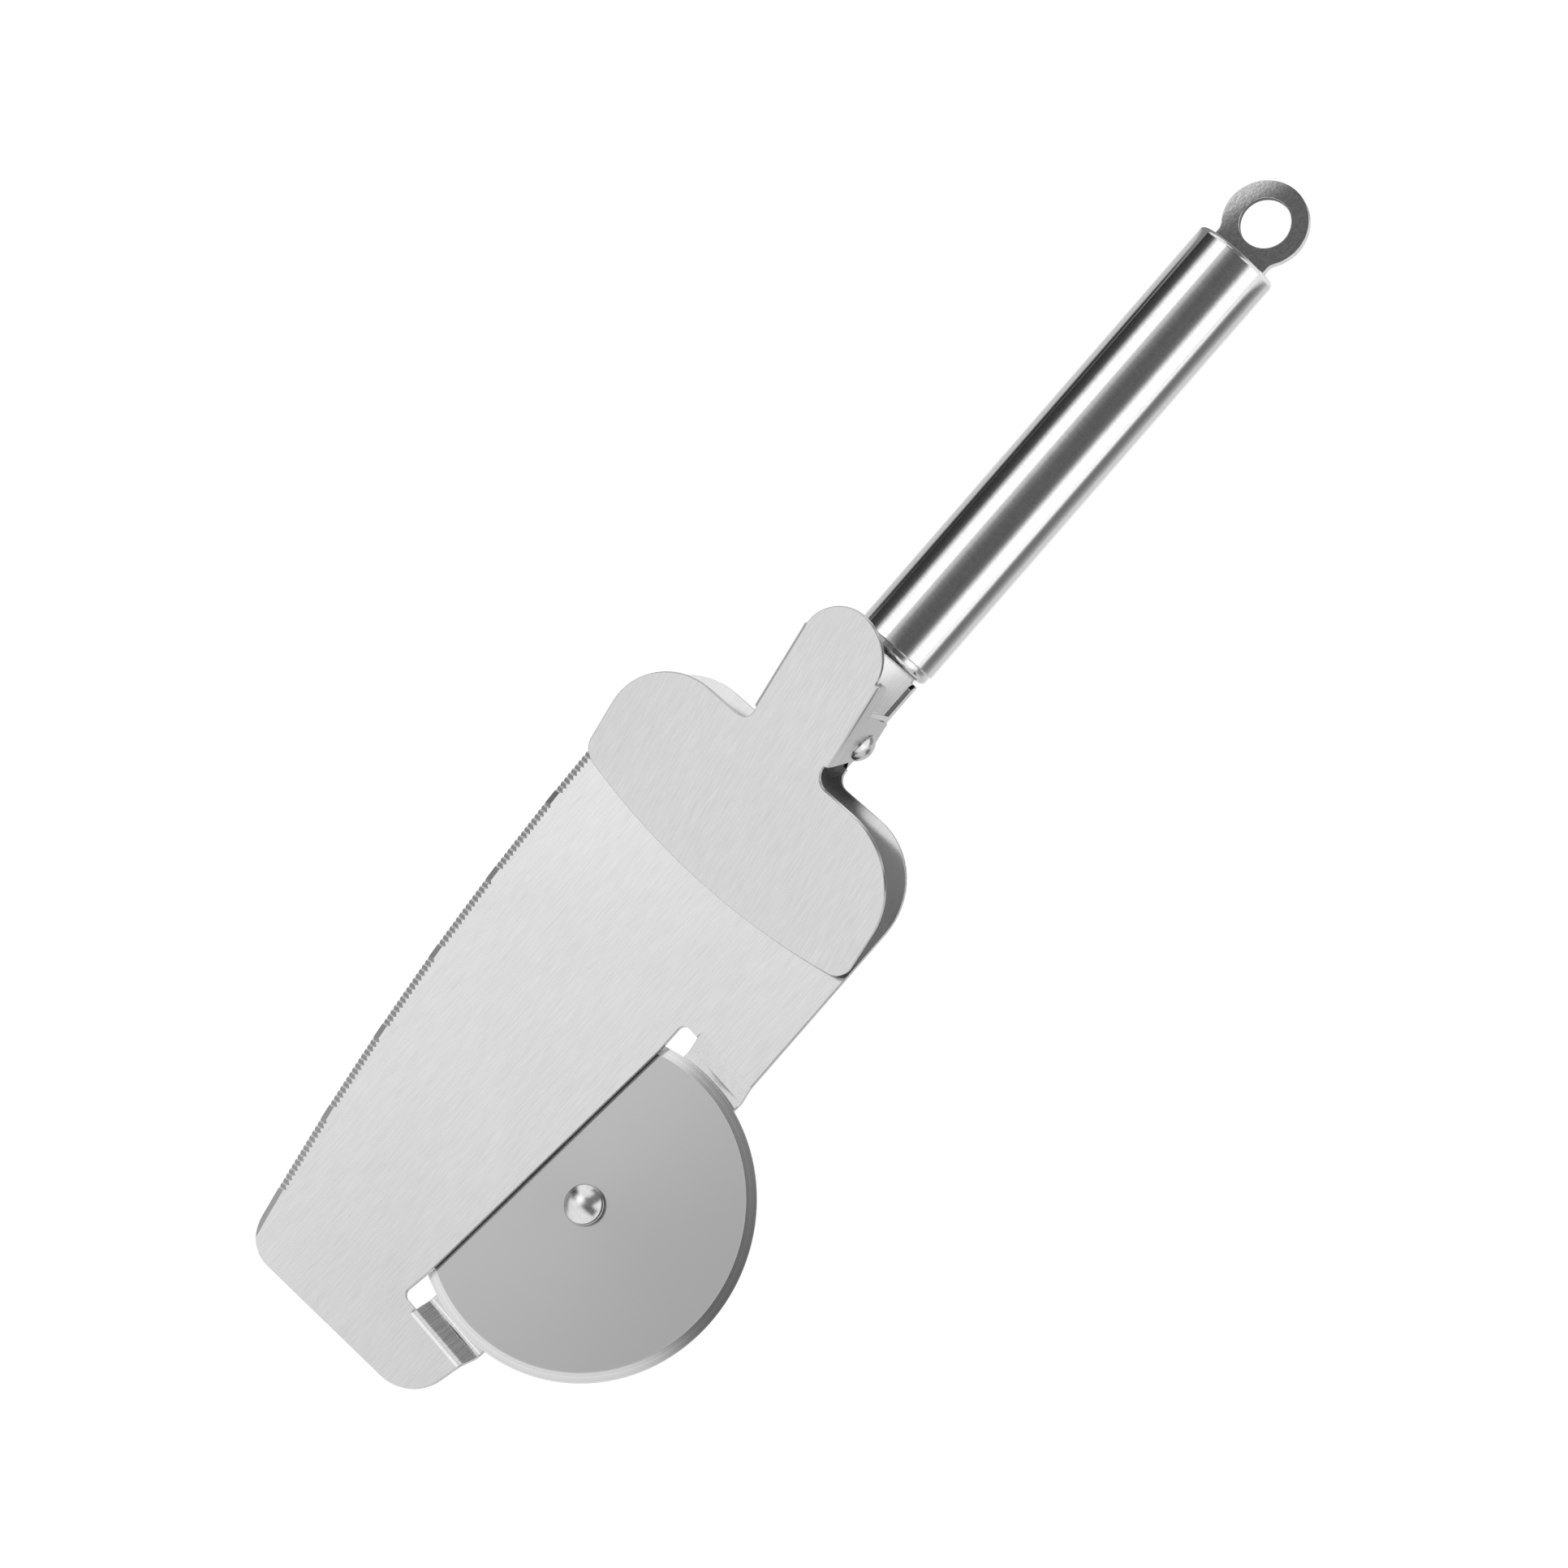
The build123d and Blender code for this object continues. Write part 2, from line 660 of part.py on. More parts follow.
# Torsion spring: one leg on the floor of the neck, the coil round the pin, one leg under the plate
coil_radius = coil_diameter / 2
wire_radius = wire_diameter / 2


def unit(vector):
    length = sqrt(sum(part**2 for part in vector))
    return tuple(part / length for part in vector)


def coil_point(angle, travel):
    """A point of the coil's centre line, at an angle in XZ and a place along the pin."""
    return (pivot_x + coil_radius * cos(angle), travel, pivot_z + coil_radius * sin(angle))


def coil_tangent(angle):
    rise = coil_pitch / (2 * pi)
    return unit((-coil_radius * sin(angle), rise, coil_radius * cos(angle)))


def biarc(start, start_tangent, end, end_tangent):
    """Two arcs that leave start and reach end along the two tangents."""
    chord = [b - a for a, b in zip(start, end)]
    tangents = [a + b for a, b in zip(start_tangent, end_tangent)]
    chord_square = sum(part**2 for part in chord)
    cross = sum(a * b for a, b in zip(chord, tangents))
    spread = 4 - sum(part**2 for part in tangents)
    reach = (sqrt(cross**2 + spread * chord_square) - cross) / spread
    near = [a + reach * b for a, b in zip(start, start_tangent)]
    far = [a - reach * b for a, b in zip(end, end_tangent)]
    joint = tuple((a + b) / 2 for a, b in zip(near, far))
    TangentArc(start, joint, tangent=start_tangent)
    TangentArc(joint, end, tangent=unit([b - a for a, b in zip(near, far)]))


# The plate leg's touching point, under the plate and behind the pivot
touch_depth = wire_radius + leg_clearance
touch_along = pivot_along + plate_leg_reach
touch_x = presser_front_x - touch_along * cos(tilt) - touch_depth * sin(tilt)
touch_z = presser_origin[2] + touch_along * sin(tilt) - touch_depth * cos(tilt)
touch_distance = hypot(touch_x - pivot_x, touch_z - pivot_z)
end_angle = atan2(touch_z - pivot_z, touch_x - pivot_x) - (pi / 2 - asin(coil_radius / touch_distance))
floor_leg_z = blade_top + wire_radius + leg_clearance
floor_distance = hypot(floor_leg_reach, floor_leg_z - pivot_z)
floor_angle = atan2(floor_leg_z - pivot_z, -floor_leg_reach)
start_angle = floor_angle + (pi / 2 - asin(coil_radius / floor_distance))
whole_turn = end_angle - start_angle
while whole_turn < full_turns * 2 * pi:
    whole_turn += 2 * pi
quarter_turns = int(whole_turn / (pi / 2))
coil_length = coil_pitch * whole_turn / (2 * pi)


def place_along_pin(angle):
    return coil_pitch * (angle - start_angle) / (2 * pi) - coil_length / 2


with BuildPart() as torsion_spring:
    with BuildLine() as spring_path:
        step = whole_turn / quarter_turns
        first = coil_point(start_angle, place_along_pin(start_angle))
        first_tangent = coil_tangent(start_angle)
        floor_leg = sqrt(floor_distance**2 - coil_radius**2)
        Line(tuple(a - floor_leg * b for a, b in zip(first, first_tangent)), first)
        for quarter in range(quarter_turns):
            angle_in = start_angle + quarter * step
            angle_out = angle_in + step
            biarc(
                coil_point(angle_in, place_along_pin(angle_in)),
                coil_tangent(angle_in),
                coil_point(angle_out, place_along_pin(angle_out)),
                coil_tangent(angle_out),
            )
        last_angle = start_angle + whole_turn
        last = coil_point(last_angle, place_along_pin(last_angle))
        plate_leg = sqrt(touch_distance**2 - coil_radius**2)
        Line(last, tuple(a + plate_leg * b for a, b in zip(last, coil_tangent(last_angle))))
    with BuildSketch(Plane(origin=spring_path.line @ 0, z_dir=spring_path.line % 0)) as wire:
        RegularPolygon(wire_radius, wire_sides)
    sweep()

samples = 24
turn_points = [
    coil_point(start_angle + 2 * pi * k / samples, place_along_pin(start_angle + 2 * pi * k / samples))
    for k in range(-samples // 4, samples // 4)
]
next_turn = coil_point(start_angle + 2 * pi, place_along_pin(start_angle + 2 * pi))
spring_gap = min(
    sqrt(sum((a - b) ** 2 for a, b in zip(point, next_turn))) for point in turn_points
) - wire_diameter
print("least gap between the spring's turns:", round(spring_gap, 3))

handle_tube.part.label = "handle_tube"
end_cap.part.label = "end_cap"
hang_ring.part.label = "hang_ring"
tang_plug.part.label = "tang_plug"
blade.part.label = "blade"
cutting_wheel.part.label = "cutting_wheel"
lower_washer.part.label = "lower_washer"
upper_washer.part.label = "upper_washer"
wheel_rivet.part.label = "wheel_rivet"
presser.part.label = "presser"
pivot_pin.part.label = "pivot_pin"
torsion_spring.part.label = "torsion_spring"

os.makedirs("parts", exist_ok=True)
export_step(handle_tube.part, "parts/handle_tube.step")
export_step(end_cap.part, "parts/end_cap.step")
export_step(hang_ring.part, "parts/hang_ring.step")
export_step(tang_plug.part, "parts/tang_plug.step")
export_step(blade.part, "parts/blade.step")
export_step(cutting_wheel.part, "parts/cutting_wheel.step")
export_step(lower_washer.part, "parts/lower_washer.step")
export_step(upper_washer.part, "parts/upper_washer.step")
export_step(wheel_rivet.part, "parts/wheel_rivet.step")
export_step(presser.part, "parts/presser.step")
export_step(pivot_pin.part, "parts/pivot_pin.step")
export_step(torsion_spring.part, "parts/torsion_spring.step")
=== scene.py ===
from math import pi, radians

import bmesh
import bpy
from mathutils import Matrix, Vector


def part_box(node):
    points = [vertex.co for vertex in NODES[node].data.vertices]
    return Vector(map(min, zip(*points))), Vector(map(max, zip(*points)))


bl_info = {
    "name": "Pizza server with cutting wheel",
    "version": (1, 0, 0),
    "blender": (4, 5, 0),
    "location": "View3D > Sidebar > Pizza server",
    "description": "Gives the pizza server its steel finishes and sets it in a pale studio",
    "category": "Object",
}

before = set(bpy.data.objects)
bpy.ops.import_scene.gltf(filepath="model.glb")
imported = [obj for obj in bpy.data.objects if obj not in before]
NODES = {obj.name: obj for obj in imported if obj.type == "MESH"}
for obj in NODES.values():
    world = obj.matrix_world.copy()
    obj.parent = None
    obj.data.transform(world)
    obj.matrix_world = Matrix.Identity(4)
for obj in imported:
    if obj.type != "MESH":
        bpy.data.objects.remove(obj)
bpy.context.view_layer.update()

WHEEL_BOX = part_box("cutting_wheel")
WHEEL_CENTRE = (WHEEL_BOX[0] + WHEEL_BOX[1]) / 2
WHEEL_RADIUS = (WHEEL_BOX[1].x - WHEEL_BOX[0].x) / 2
BEVEL_WIDTH = 0.0022
RIVET_RADIUS = 0.0025
# The way from the ring's middle to its bright arc
RING_ARC = (-0.326, -0.945)
# The serrated side is an arc: its radius, its outermost point and its centre
SERRATED_RADIUS = 0.670
SERRATED_CREST = (0.1669, -0.0395)
SERRATED_CENTRE = (SERRATED_CREST[0], SERRATED_RADIUS + SERRATED_CREST[1])
TUBE_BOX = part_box("handle_tube")
TUBE_FRONT = TUBE_BOX[1].x
PIN_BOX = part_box("pivot_pin")
PIN_PLACE = (PIN_BOX[0].x + PIN_BOX[1].x) / 2
FLOOR_GAP = 0.0002
FLOOR_HEIGHT = TUBE_BOX[0].z - FLOOR_GAP
FLOOR_HALF = 6.0
FLOOR_MIDDLE = 0.15
TOOL_MIDDLE = (0.16, 0.0, 0.0)
KEY_PLACE = (0.25, -0.35, 0.95)
KEY_SIZE = (0.9, 0.6)
CAMERA_RIGHT = (-0.6559, 0.7069, -0.2646)
CAMERA_BACK = (-0.0231, 0.3315, 0.9432)

# Each pair below says where an easing change begins and where it is done.
# Along the tool, in metres from the hanging hole
WING_BEGINS = (0.142, 0.150)
FRONT_EDGE_BEGINS = (0.150, 0.160)
NECK_FLOOR_BEGINS = (0.150, 0.138)
LUGS_BEGIN = (0.152, 0.149)
STRIP_BEGINS = (0.160, 0.164)
RIM_BEGINS = (TUBE_FRONT - 0.0027, TUBE_FRONT - 0.0022)
# Across it, where the blade's wheel side begins and where the rim's painted shade does
WHEEL_SIDE_BEGINS = (0.001, 0.004)
RIM_SHADE_BEGINS = (0.0045, 0.0015)
# In height, where the lugs' cut edges stand above the neck
LUG_EDGES_BEGIN = (-0.0014, -0.0008)
# How far a face looks along X or Z when a finish shows on it
UNDERSIDE = (-0.2, -0.6)
FRONT_EDGE = (0.60, 0.85)
UPPER_SIDE = (0.50, 0.85)
RING_RAMP = (-0.35, -0.58)
TIP_RAMP = (0.10, 0.50)
BEND_TO_RING = (-0.02, -0.15)
RING_RAMP_TO_BEND = (-0.46, -0.26)
BEND_ASIDE = (-0.01, -0.08)
# How far from the ring's middle its bright arc begins
ARC_BEGINS = (0.0010, 0.0090)
# Distance from the serrated arc's centre over which cut edges turn sharp, and the share of
# their rounding that is left there
SERRATED_SHARP = (SERRATED_RADIUS - 0.0045, SERRATED_RADIUS - 0.0030)
SHARP_EDGE_SHARE = 0.12

# How much darker painted shade makes the steel: 0 not at all, 1 black
WING_PAINTED_SHADE = 0.55
FRONT_EDGE_PAINTED_SHADE = 0.60
LUG_EDGE_PAINTED_SHADE = 0.72
RIM_PAINTED_SHADE = 0.62
# And what painted light and shade multiply the steel's colour by
NECK_FLOOR_PAINTED_LIGHT = 1.20
DRAG_MARK_PAINTED_SHADE = 0.80
BEVEL_PAINTED_HIGHLIGHT = 1.60
# Painted light and shade on turned steel, from its serrated side to its wheel side
WHEEL_PAINTED_LIGHT_AND_SHADE = (1.06, 0.90)
# How far a face's normal leans: upwards, to the serrated side and to the wheel side
TIP_RAMP_LIFT = 0.40
RING_BEND_LIFT = 0.30
BEND_LEAN = -0.09
RING_LEANS = (0.26, 0.05)
# How far the drag marks shift the edge of the dark band
DRAG_MARK_SHIFT = 0.20
# The share of the wide scratches in the grain, and their size beside the fine ones
WIDE_SHARE = 0.2
WIDE_WIDTH = 0.22
WIDE_LENGTH = 0.5
# How much the grain roughens brushed and turned steel, and how deep scratches and moulding are
BRUSHED_ROUGHENING = 0.08
TURNED_ROUGHENING = 0.10
RELIEF_DEPTH = 0.0002
MOULD_DEPTH = 0.0001
# Turned rings fade in over this width up to the bevel, from this share on the flat
RINGS_FADE = 0.0005
FLAT_RINGS_SHARE = 0.1
# Half the width over which the bevel's painted highlight begins
BEVEL_LINE = 0.0001
# Edge rounding of small pieces, as shares of the sheet's, and of the spring's wire
TURNED_EDGE_SHARE = 0.3
RIVET_EDGE_SHARE = 0.5
WIRE_EDGE = 0.00005

# Strips of the studio round the tool's long axis: degrees from straight up towards the wheel
# side, and how bright a polished tube looks there
STUDIO_STRIPS = (
    (-180, 0.95), (-100, 0.22), (-85, 0.16), (-69, 0.19), (-60, 0.32), (-52, 0.74),
    (-46, 0.98), (-32, 1.03), (-22, 0.99), (-17, 0.92), (-11, 0.73), (-5, 0.52), (1, 0.43),
    (12, 0.34), (36, 0.30), (45, 0.36), (51, 0.50), (57, 0.80), (63, 1.01), (90, 1.03),
    (104, 0.60), (180, 0.95),
)
# The end of the studio past the blade's tip: how high it is seen, and how bright
TIP_END = ((-1.0, 0.30), (-0.45, 0.42), (-0.25, 0.84), (0.5, 0.86), (1.0, 0.86))
# How much dimmer its low corner on the serrated side is
TIP_CORNER_DIMMING = 0.80
# The end past the hanging ring: a dark wall with a bright window on either side
RING_END_DARK = 0.41
RING_END_BRIGHT = 0.88
# The corner of the sides low on the serrated side, and how much dimmer the sides get to the tip
SERRATED_CORNER = 0.50
SIDES_AT_TIP = 0.85
# How much brighter than the strips say the studio and the sheet are in reflections
STUDIO_GAIN = 1.15
# How bright the camera sees the sheet, and how much of that is its own light
SHEET_SEEN = 1.03
SHEET_OWN_SHARE = 0.97
# Parts of a ray's direction over which one part of the studio goes over into another:
# X from the ring to the tip, Y from the serrated side to the wheel side, Z upwards
SIDES_DIM_X = (0.0, 0.17)
SERRATED_CORNER_X = (0.03, 0.12)
SERRATED_CORNER_Y = (-0.55, -0.85)
TIP_CORNER_Y = (-0.42, -0.80)
TIP_CORNER_Z = (0.45, 0.10)
WINDOW_SIDE_Y = (0.0, -0.28)
WINDOW_FOOT_Z = (0.36, 0.58)
WINDOW_ASIDE_Y = (-0.36, -0.50)
WINDOW_TOP_Z = (0.88, 0.80)
WINDOW_TOP_ASIDE_Y = (-0.325, -0.355)
WHEEL_WINDOW_Y = (0.30, 0.50)
RING_END_TO_TIP_END_X = (-0.12, 0.10)
SIDES_TO_ENDS_X = (0.16, 0.34)
# Strips in the sheet under the handle: metres across from its long axis, and brightness
SHEET_STRIPS = (
    (-0.120, 0.20), (-0.078, 0.32), (-0.060, 0.70), (-0.043, 0.74), (-0.026, 0.77),
    (-0.014, 0.90), (0.000, 1.00), (0.010, 0.94), (0.013, 0.80), (0.0176, 0.78), (0.0226, 0.60),
    (0.030, 0.46), (0.041, 0.43), (0.055, 0.46), (0.070, 0.60), (0.100, 0.90), (0.130, 0.98),
)
# In the sheet under the pivot pin, and the even grey of the sheet under the rest of the blade
PIN_STRIPS = ((-0.030, 0.74), (0.027, 0.74), (0.035, 0.34), (0.065, 0.34), (0.090, 0.80))
SHEET_PALE = 0.74
# And in the sheet under the hanging ring
RING_STRIPS = ((-0.020, 0.50), (-0.002, 0.42), (0.004, 0.50), (0.008, 0.88), (0.030, 0.90))
# Along the tool, where the sheet's strips change, and how far the pin's reach from it
UNDER_RING = (0.009, 0.006)
UNDER_BLADE = (0.119, 0.127)
PIN_STRIPS_FADE = (0.004, 0.010)


def linear(shown):
    """The light that shows as this brightness on the screen."""
    if shown <= 0.04045:
        return shown / 12.92
    return ((shown + 0.055) / 1.055) ** 2.4


def grey(shown):
    """The grey colour that shows as this brightness on the screen."""
    level = linear(shown)
    return (level, level, level, 1.0)


class SteelFinish(bpy.types.PropertyGroup):
    """How the steel pieces are finished."""

    steel_colour: bpy.props.FloatVectorProperty(
        name="Steel colour", description="Colour of the brushed steel sheet",
        subtype="COLOR", size=3, min=0.0, max=1.0, default=(0.81, 0.81, 0.81),
    )
    tube_colour: bpy.props.FloatVectorProperty(
        name="Tube colour", description="Colour of the handle's polished steel",
        subtype="COLOR", size=3, min=0.0, max=1.0, default=(0.88, 0.88, 0.88),
    )
    wheel_colour: bpy.props.FloatVectorProperty(
        name="Wheel colour", description="Colour of the cutting wheel's steel",
        subtype="COLOR", size=3, min=0.0, max=1.0, default=(0.54, 0.54, 0.54),
    )
    ring_colour: bpy.props.FloatVectorProperty(
        name="Ring colour", description="Colour of the hanging ring's steel",
        subtype="COLOR", size=3, min=0.0, max=1.0, default=(0.72, 0.72, 0.72),
    )
    plug_colour: bpy.props.FloatVectorProperty(
        name="Plug colour", description="Colour of the plug in the mouth of the tube",
        subtype="COLOR", size=3, min=0.0, max=1.0, default=(0.035, 0.035, 0.035),
    )
    grain_strength: bpy.props.FloatProperty(
        name="Grain strength", description="How strongly the brushed grain shows",
        subtype="FACTOR", min=0.0, max=1.0, default=0.38,
    )
    edge_round: bpy.props.FloatProperty(
        name="Edge rounding", description="How far the sheet's cut edges are rounded off",
        subtype="DISTANCE", unit="LENGTH", min=0.0, max=0.001, default=0.0003,
    )


class StudioSettings(bpy.types.PropertyGroup):
    """The pale studio and the camera."""

    room_light: bpy.props.FloatProperty(
        name="Room light", description="Strength of the even light of the room",
        min=0.0, max=5.0, default=0.95,
    )
    key_power: bpy.props.FloatProperty(
        name="Key light", description="Power of the large soft lamp above the tool",
        subtype="POWER", unit="POWER", min=0.0, max=100.0, default=2.0,
    )
    floor_colour: bpy.props.FloatVectorProperty(
        name="Floor colour", description="Colour of the sheet that the tool lies on",
        subtype="COLOR", size=3, min=0.0, max=1.0, default=(0.93, 0.93, 0.93),
    )
    camera_place: bpy.props.FloatVectorProperty(
        name="Camera place", description="Where the camera stands",
        subtype="TRANSLATION", unit="LENGTH", size=3, default=(0.13204, 0.37639, 1.06848),
    )
    lens: bpy.props.FloatProperty(
        name="Lens", description="Focal length of the camera on a 36 mm sensor, in millimetres",
        min=10.0, max=500.0, default=121.1,
    )


def new_group(name, inputs, outputs):
    """A shader node group with named inputs (name, socket type, default) and outputs."""
    group = bpy.data.node_groups.new(name, "ShaderNodeTree")
    for label, kind, default in inputs:
        socket = group.interface.new_socket(name=label, in_out="INPUT", socket_type=kind)
        if default is not None:
            socket.default_value = default
    for label, kind in outputs:
        group.interface.new_socket(name=label, in_out="OUTPUT", socket_type=kind)
    start = group.nodes.new("NodeGroupInput")
    end = group.nodes.new("NodeGroupOutput")
    return group, start, end


def feed(tree, socket, value):
    """Links an input to another socket, or sets it to a value."""
    if isinstance(value, bpy.types.NodeSocket):
        tree.links.new(value, socket)
    else:
        socket.default_value = value


def add_node(tree, kind, settings=None, **inputs):
    """A node with its settings and its input values."""
    node = tree.nodes.new(kind)
    for key, value in (settings or {}).items():
        setattr(node, key, value)
    for key, value in inputs.items():
        label = key.replace("_", " ")
        feed(tree, node.inputs[label] if label in node.inputs else node.inputs[key], value)
    return node


def calculate(tree, operation, first, second=None, third=None):
    """A math node on values or sockets."""
    node = tree.nodes.new("ShaderNodeMath")
    node.operation = operation
    for index, value in enumerate((first, second, third)):
        if value is not None:
            feed(tree, node.inputs[index], value)
    return node.outputs[0]


def ease(tree, value, start, end, low=0.0, high=1.0):
    """A smooth change from low to high while a value goes from start to end."""
    node = add_node(
        tree, "ShaderNodeMapRange", {"interpolation_type": "SMOOTHSTEP", "clamp": True},
        Value=value, From_Min=start, From_Max=end, To_Min=low, To_Max=high,
    )
    return node.outputs[0]


def brushed_grain_group():
    """Long fine scratches along X: a mask, a height and a colour factor."""
    name = "Brushed grain"
    if name in bpy.data.node_groups:
        return bpy.data.node_groups[name]
    group, start, end = new_group(
        name,
        (
            ("Vector", "NodeSocketVector", None),
            ("Fine Width", "NodeSocketFloat", 5000.0),
            ("Length", "NodeSocketFloat", 60.0),
            ("Strength", "NodeSocketFloat", 0.5),
        ),
        (("Mask", "NodeSocketFloat"), ("Height", "NodeSocketFloat"), ("Shade", "NodeSocketFloat")),
    )
    parts = add_node(group, "ShaderNodeSeparateXYZ", Vector=start.outputs["Vector"])
    along = calculate(group, "MULTIPLY", parts.outputs["X"], start.outputs["Length"])
    across = calculate(group, "MULTIPLY", parts.outputs["Y"], start.outputs["Fine Width"])
    rise = calculate(group, "MULTIPLY", parts.outputs["Z"], start.outputs["Fine Width"])
    stretched = add_node(group, "ShaderNodeCombineXYZ", X=along, Y=across, Z=rise)
    fine = add_node(
        group, "ShaderNodeTexNoise", {"noise_dimensions": "3D"},
        Vector=stretched.outputs[0], Scale=1.0, Detail=3.0, Roughness=0.6,
    )
    wide_across = calculate(group, "MULTIPLY", across, WIDE_WIDTH)
    wide_along = calculate(group, "MULTIPLY", along, WIDE_LENGTH)
    wide_rise = calculate(group, "MULTIPLY", rise, WIDE_WIDTH)
    wide_vector = add_node(group, "ShaderNodeCombineXYZ", X=wide_along, Y=wide_across, Z=wide_rise)
    wide = add_node(
        group, "ShaderNodeTexNoise", {"noise_dimensions": "3D"},
        Vector=wide_vector.outputs[0], Scale=1.0, Detail=2.0, Roughness=0.55,
    )
    both = calculate(group, "MULTIPLY", wide.outputs["Fac"], WIDE_SHARE)
    both = calculate(group, "MULTIPLY_ADD", fine.outputs["Fac"], 1.0 - WIDE_SHARE, both)
    group.links.new(both, end.inputs["Mask"])
    height = calculate(group, "MULTIPLY", both, start.outputs["Strength"])
    group.links.new(height, end.inputs["Height"])
    centred = calculate(group, "SUBTRACT", both, 0.5)
    shade = calculate(group, "MULTIPLY", centred, start.outputs["Strength"])
    shade = calculate(group, "ADD", shade, 1.0)
    group.links.new(shade, end.inputs["Shade"])
    return group


def cloudy_group():
    """Slow changes over a surface, as handling and polishing leave them."""
    name = "Cloudy polish"
    if name in bpy.data.node_groups:
        return bpy.data.node_groups[name]
    group, start, end = new_group(
        name,
        (
            ("Vector", "NodeSocketVector", None),
            ("Size", "NodeSocketFloat", 25.0),
            ("Low", "NodeSocketFloat", 0.9),
            ("High", "NodeSocketFloat", 1.1),
        ),
        (("Value", "NodeSocketFloat"),),
    )
    noise = add_node(
        group, "ShaderNodeTexNoise", {"noise_dimensions": "3D"},
        Vector=start.outputs["Vector"], Scale=start.outputs["Size"], Detail=2.0, Roughness=0.5,
    )
    spread = add_node(
        group, "ShaderNodeMapRange", {"clamp": True}, Value=noise.outputs["Fac"],
        From_Min=0.3, From_Max=0.7, To_Min=start.outputs["Low"], To_Max=start.outputs["High"],
    )
    group.links.new(spread.outputs[0], end.inputs["Value"])
    return group


def use_group(tree, group, **inputs):
    """A node that stands for a shader group, with its input values."""
    node = tree.nodes.new("ShaderNodeGroup")
    node.node_tree = group
    for key, value in inputs.items():
        feed(tree, node.inputs[key.replace("_", " ")], value)
    return node


def blank_material(name):
    """A material with its Principled shader and output, and the object's own coordinates."""
    material = bpy.data.materials.new(name)
    material.use_nodes = True
    tree = material.node_tree
    tree.nodes.clear()
    output = tree.nodes.new("ShaderNodeOutputMaterial")
    shader = tree.nodes.new("ShaderNodeBsdfPrincipled")
    tree.links.new(shader.outputs[0], output.inputs["Surface"])
    place = tree.nodes.new("ShaderNodeTexCoord").outputs["Object"]
    return material, tree, shader, place


def tinted(tree, colour, shade):
    """A colour, or the colour of a socket, made lighter or darker by a shade value."""
    node = add_node(tree, "ShaderNodeMix", {"data_type": "RGBA", "blend_type": "MULTIPLY"})
    node.inputs["Factor"].default_value = 1.0
    from_socket = isinstance(colour, bpy.types.NodeSocket)
    feed(tree, node.inputs[6], colour if from_socket else (*colour, 1.0))
    tree.links.new(shade, node.inputs[7])
    return node.outputs[2]


def mixed_colour(tree, share, first, second):
    """One colour that goes over into another with the share."""
    node = add_node(tree, "ShaderNodeMix", {"data_type": "RGBA"})
    tree.links.new(share, node.inputs["Factor"])
    feed(tree, node.inputs[6], first)
    feed(tree, node.inputs[7], second)
    return node.outputs[2]


def mixed_shader(tree, share, first, second):
    """One shader that goes over into another with the share."""
    node = tree.nodes.new("ShaderNodeMixShader")
    feed(tree, node.inputs[0], share)
    tree.links.new(first.outputs[0], node.inputs[1])
    tree.links.new(second.outputs[0], node.inputs[2])
    return node


def strip_ramp(tree, value, strips):
    """A colour ramp of strip lights over a value, from (place, brightness) pairs."""
    low = strips[0][0]
    high = strips[-1][0]
    share = add_node(
        tree, "ShaderNodeMapRange", {"clamp": True}, Value=value, From_Min=low, From_Max=high,
        To_Min=0.0, To_Max=1.0,
    )
    ramp = tree.nodes.new("ShaderNodeValToRGB")
    tree.links.new(share.outputs[0], ramp.inputs[0])
    stops = ramp.color_ramp.elements
    for index, (place, shown) in enumerate(strips):
        position = (place - low) / (high - low)
        if index == 0:
            stop = stops[0]
            stop.position = position
        elif index == len(strips) - 1:
            stop = stops[len(stops) - 1]
            stop.position = position
        else:
            stop = stops.new(position)
        stop.color = grey(shown)
    return ramp.outputs["Color"]


def brushed_steel(
    name, colour, rough, grain_turn=(0.0, 0.0, 0.0), across=(0.0, 1.0, 0.0), stretch=0.8,
    fine_width=2600.0, length=170.0, grain=0.5, bump=0.03, edge=0.0002, cloud=(0.98, 1.02),
    sharpen=None, recolour=None, tilt=None,
):
    """Steel with a straight brushed grain, rounded at its cut edges."""
    material, tree, shader, place = blank_material(name)
    turned = add_node(tree, "ShaderNodeMapping", Vector=place, Rotation=grain_turn)
    scratches = use_group(
        tree, brushed_grain_group(), Vector=turned.outputs[0], Fine_Width=fine_width,
        Length=length, Strength=grain,
    )
    clouds = use_group(
        tree, cloudy_group(), Vector=place, Size=22.0, Low=cloud[0], High=cloud[1]
    )
    shade = calculate(tree, "MULTIPLY", scratches.outputs["Shade"], clouds.outputs["Value"])
    if recolour:
        shade = calculate(tree, "MULTIPLY", shade, recolour(tree, place))
    tree.links.new(tinted(tree, colour, shade), shader.inputs["Base Color"])
    rough_value = calculate(
        tree, "MULTIPLY_ADD", scratches.outputs["Mask"], BRUSHED_ROUGHENING * grain, rough
    )
    tree.links.new(rough_value, shader.inputs["Roughness"])
    shader.inputs["Metallic"].default_value = 1.0
    shader.inputs["Anisotropic"].default_value = stretch
    direction = add_node(tree, "ShaderNodeCombineXYZ", X=across[0], Y=across[1], Z=across[2])
    tree.links.new(direction.outputs[0], shader.inputs["Tangent"])
    if sharpen:
        edge = calculate(tree, "MULTIPLY", sharpen(tree, place), edge)
    rounded = add_node(tree, "ShaderNodeBevel", {"samples": 8}, Radius=edge).outputs[0]
    if tilt:
        rounded = tilt(tree, place, rounded)
    relief = add_node(
        tree, "ShaderNodeBump", Strength=bump, Distance=RELIEF_DEPTH,
        Height=scratches.outputs["Height"], Normal=rounded,
    )
    tree.links.new(relief.outputs[0], shader.inputs["Normal"])
    return material


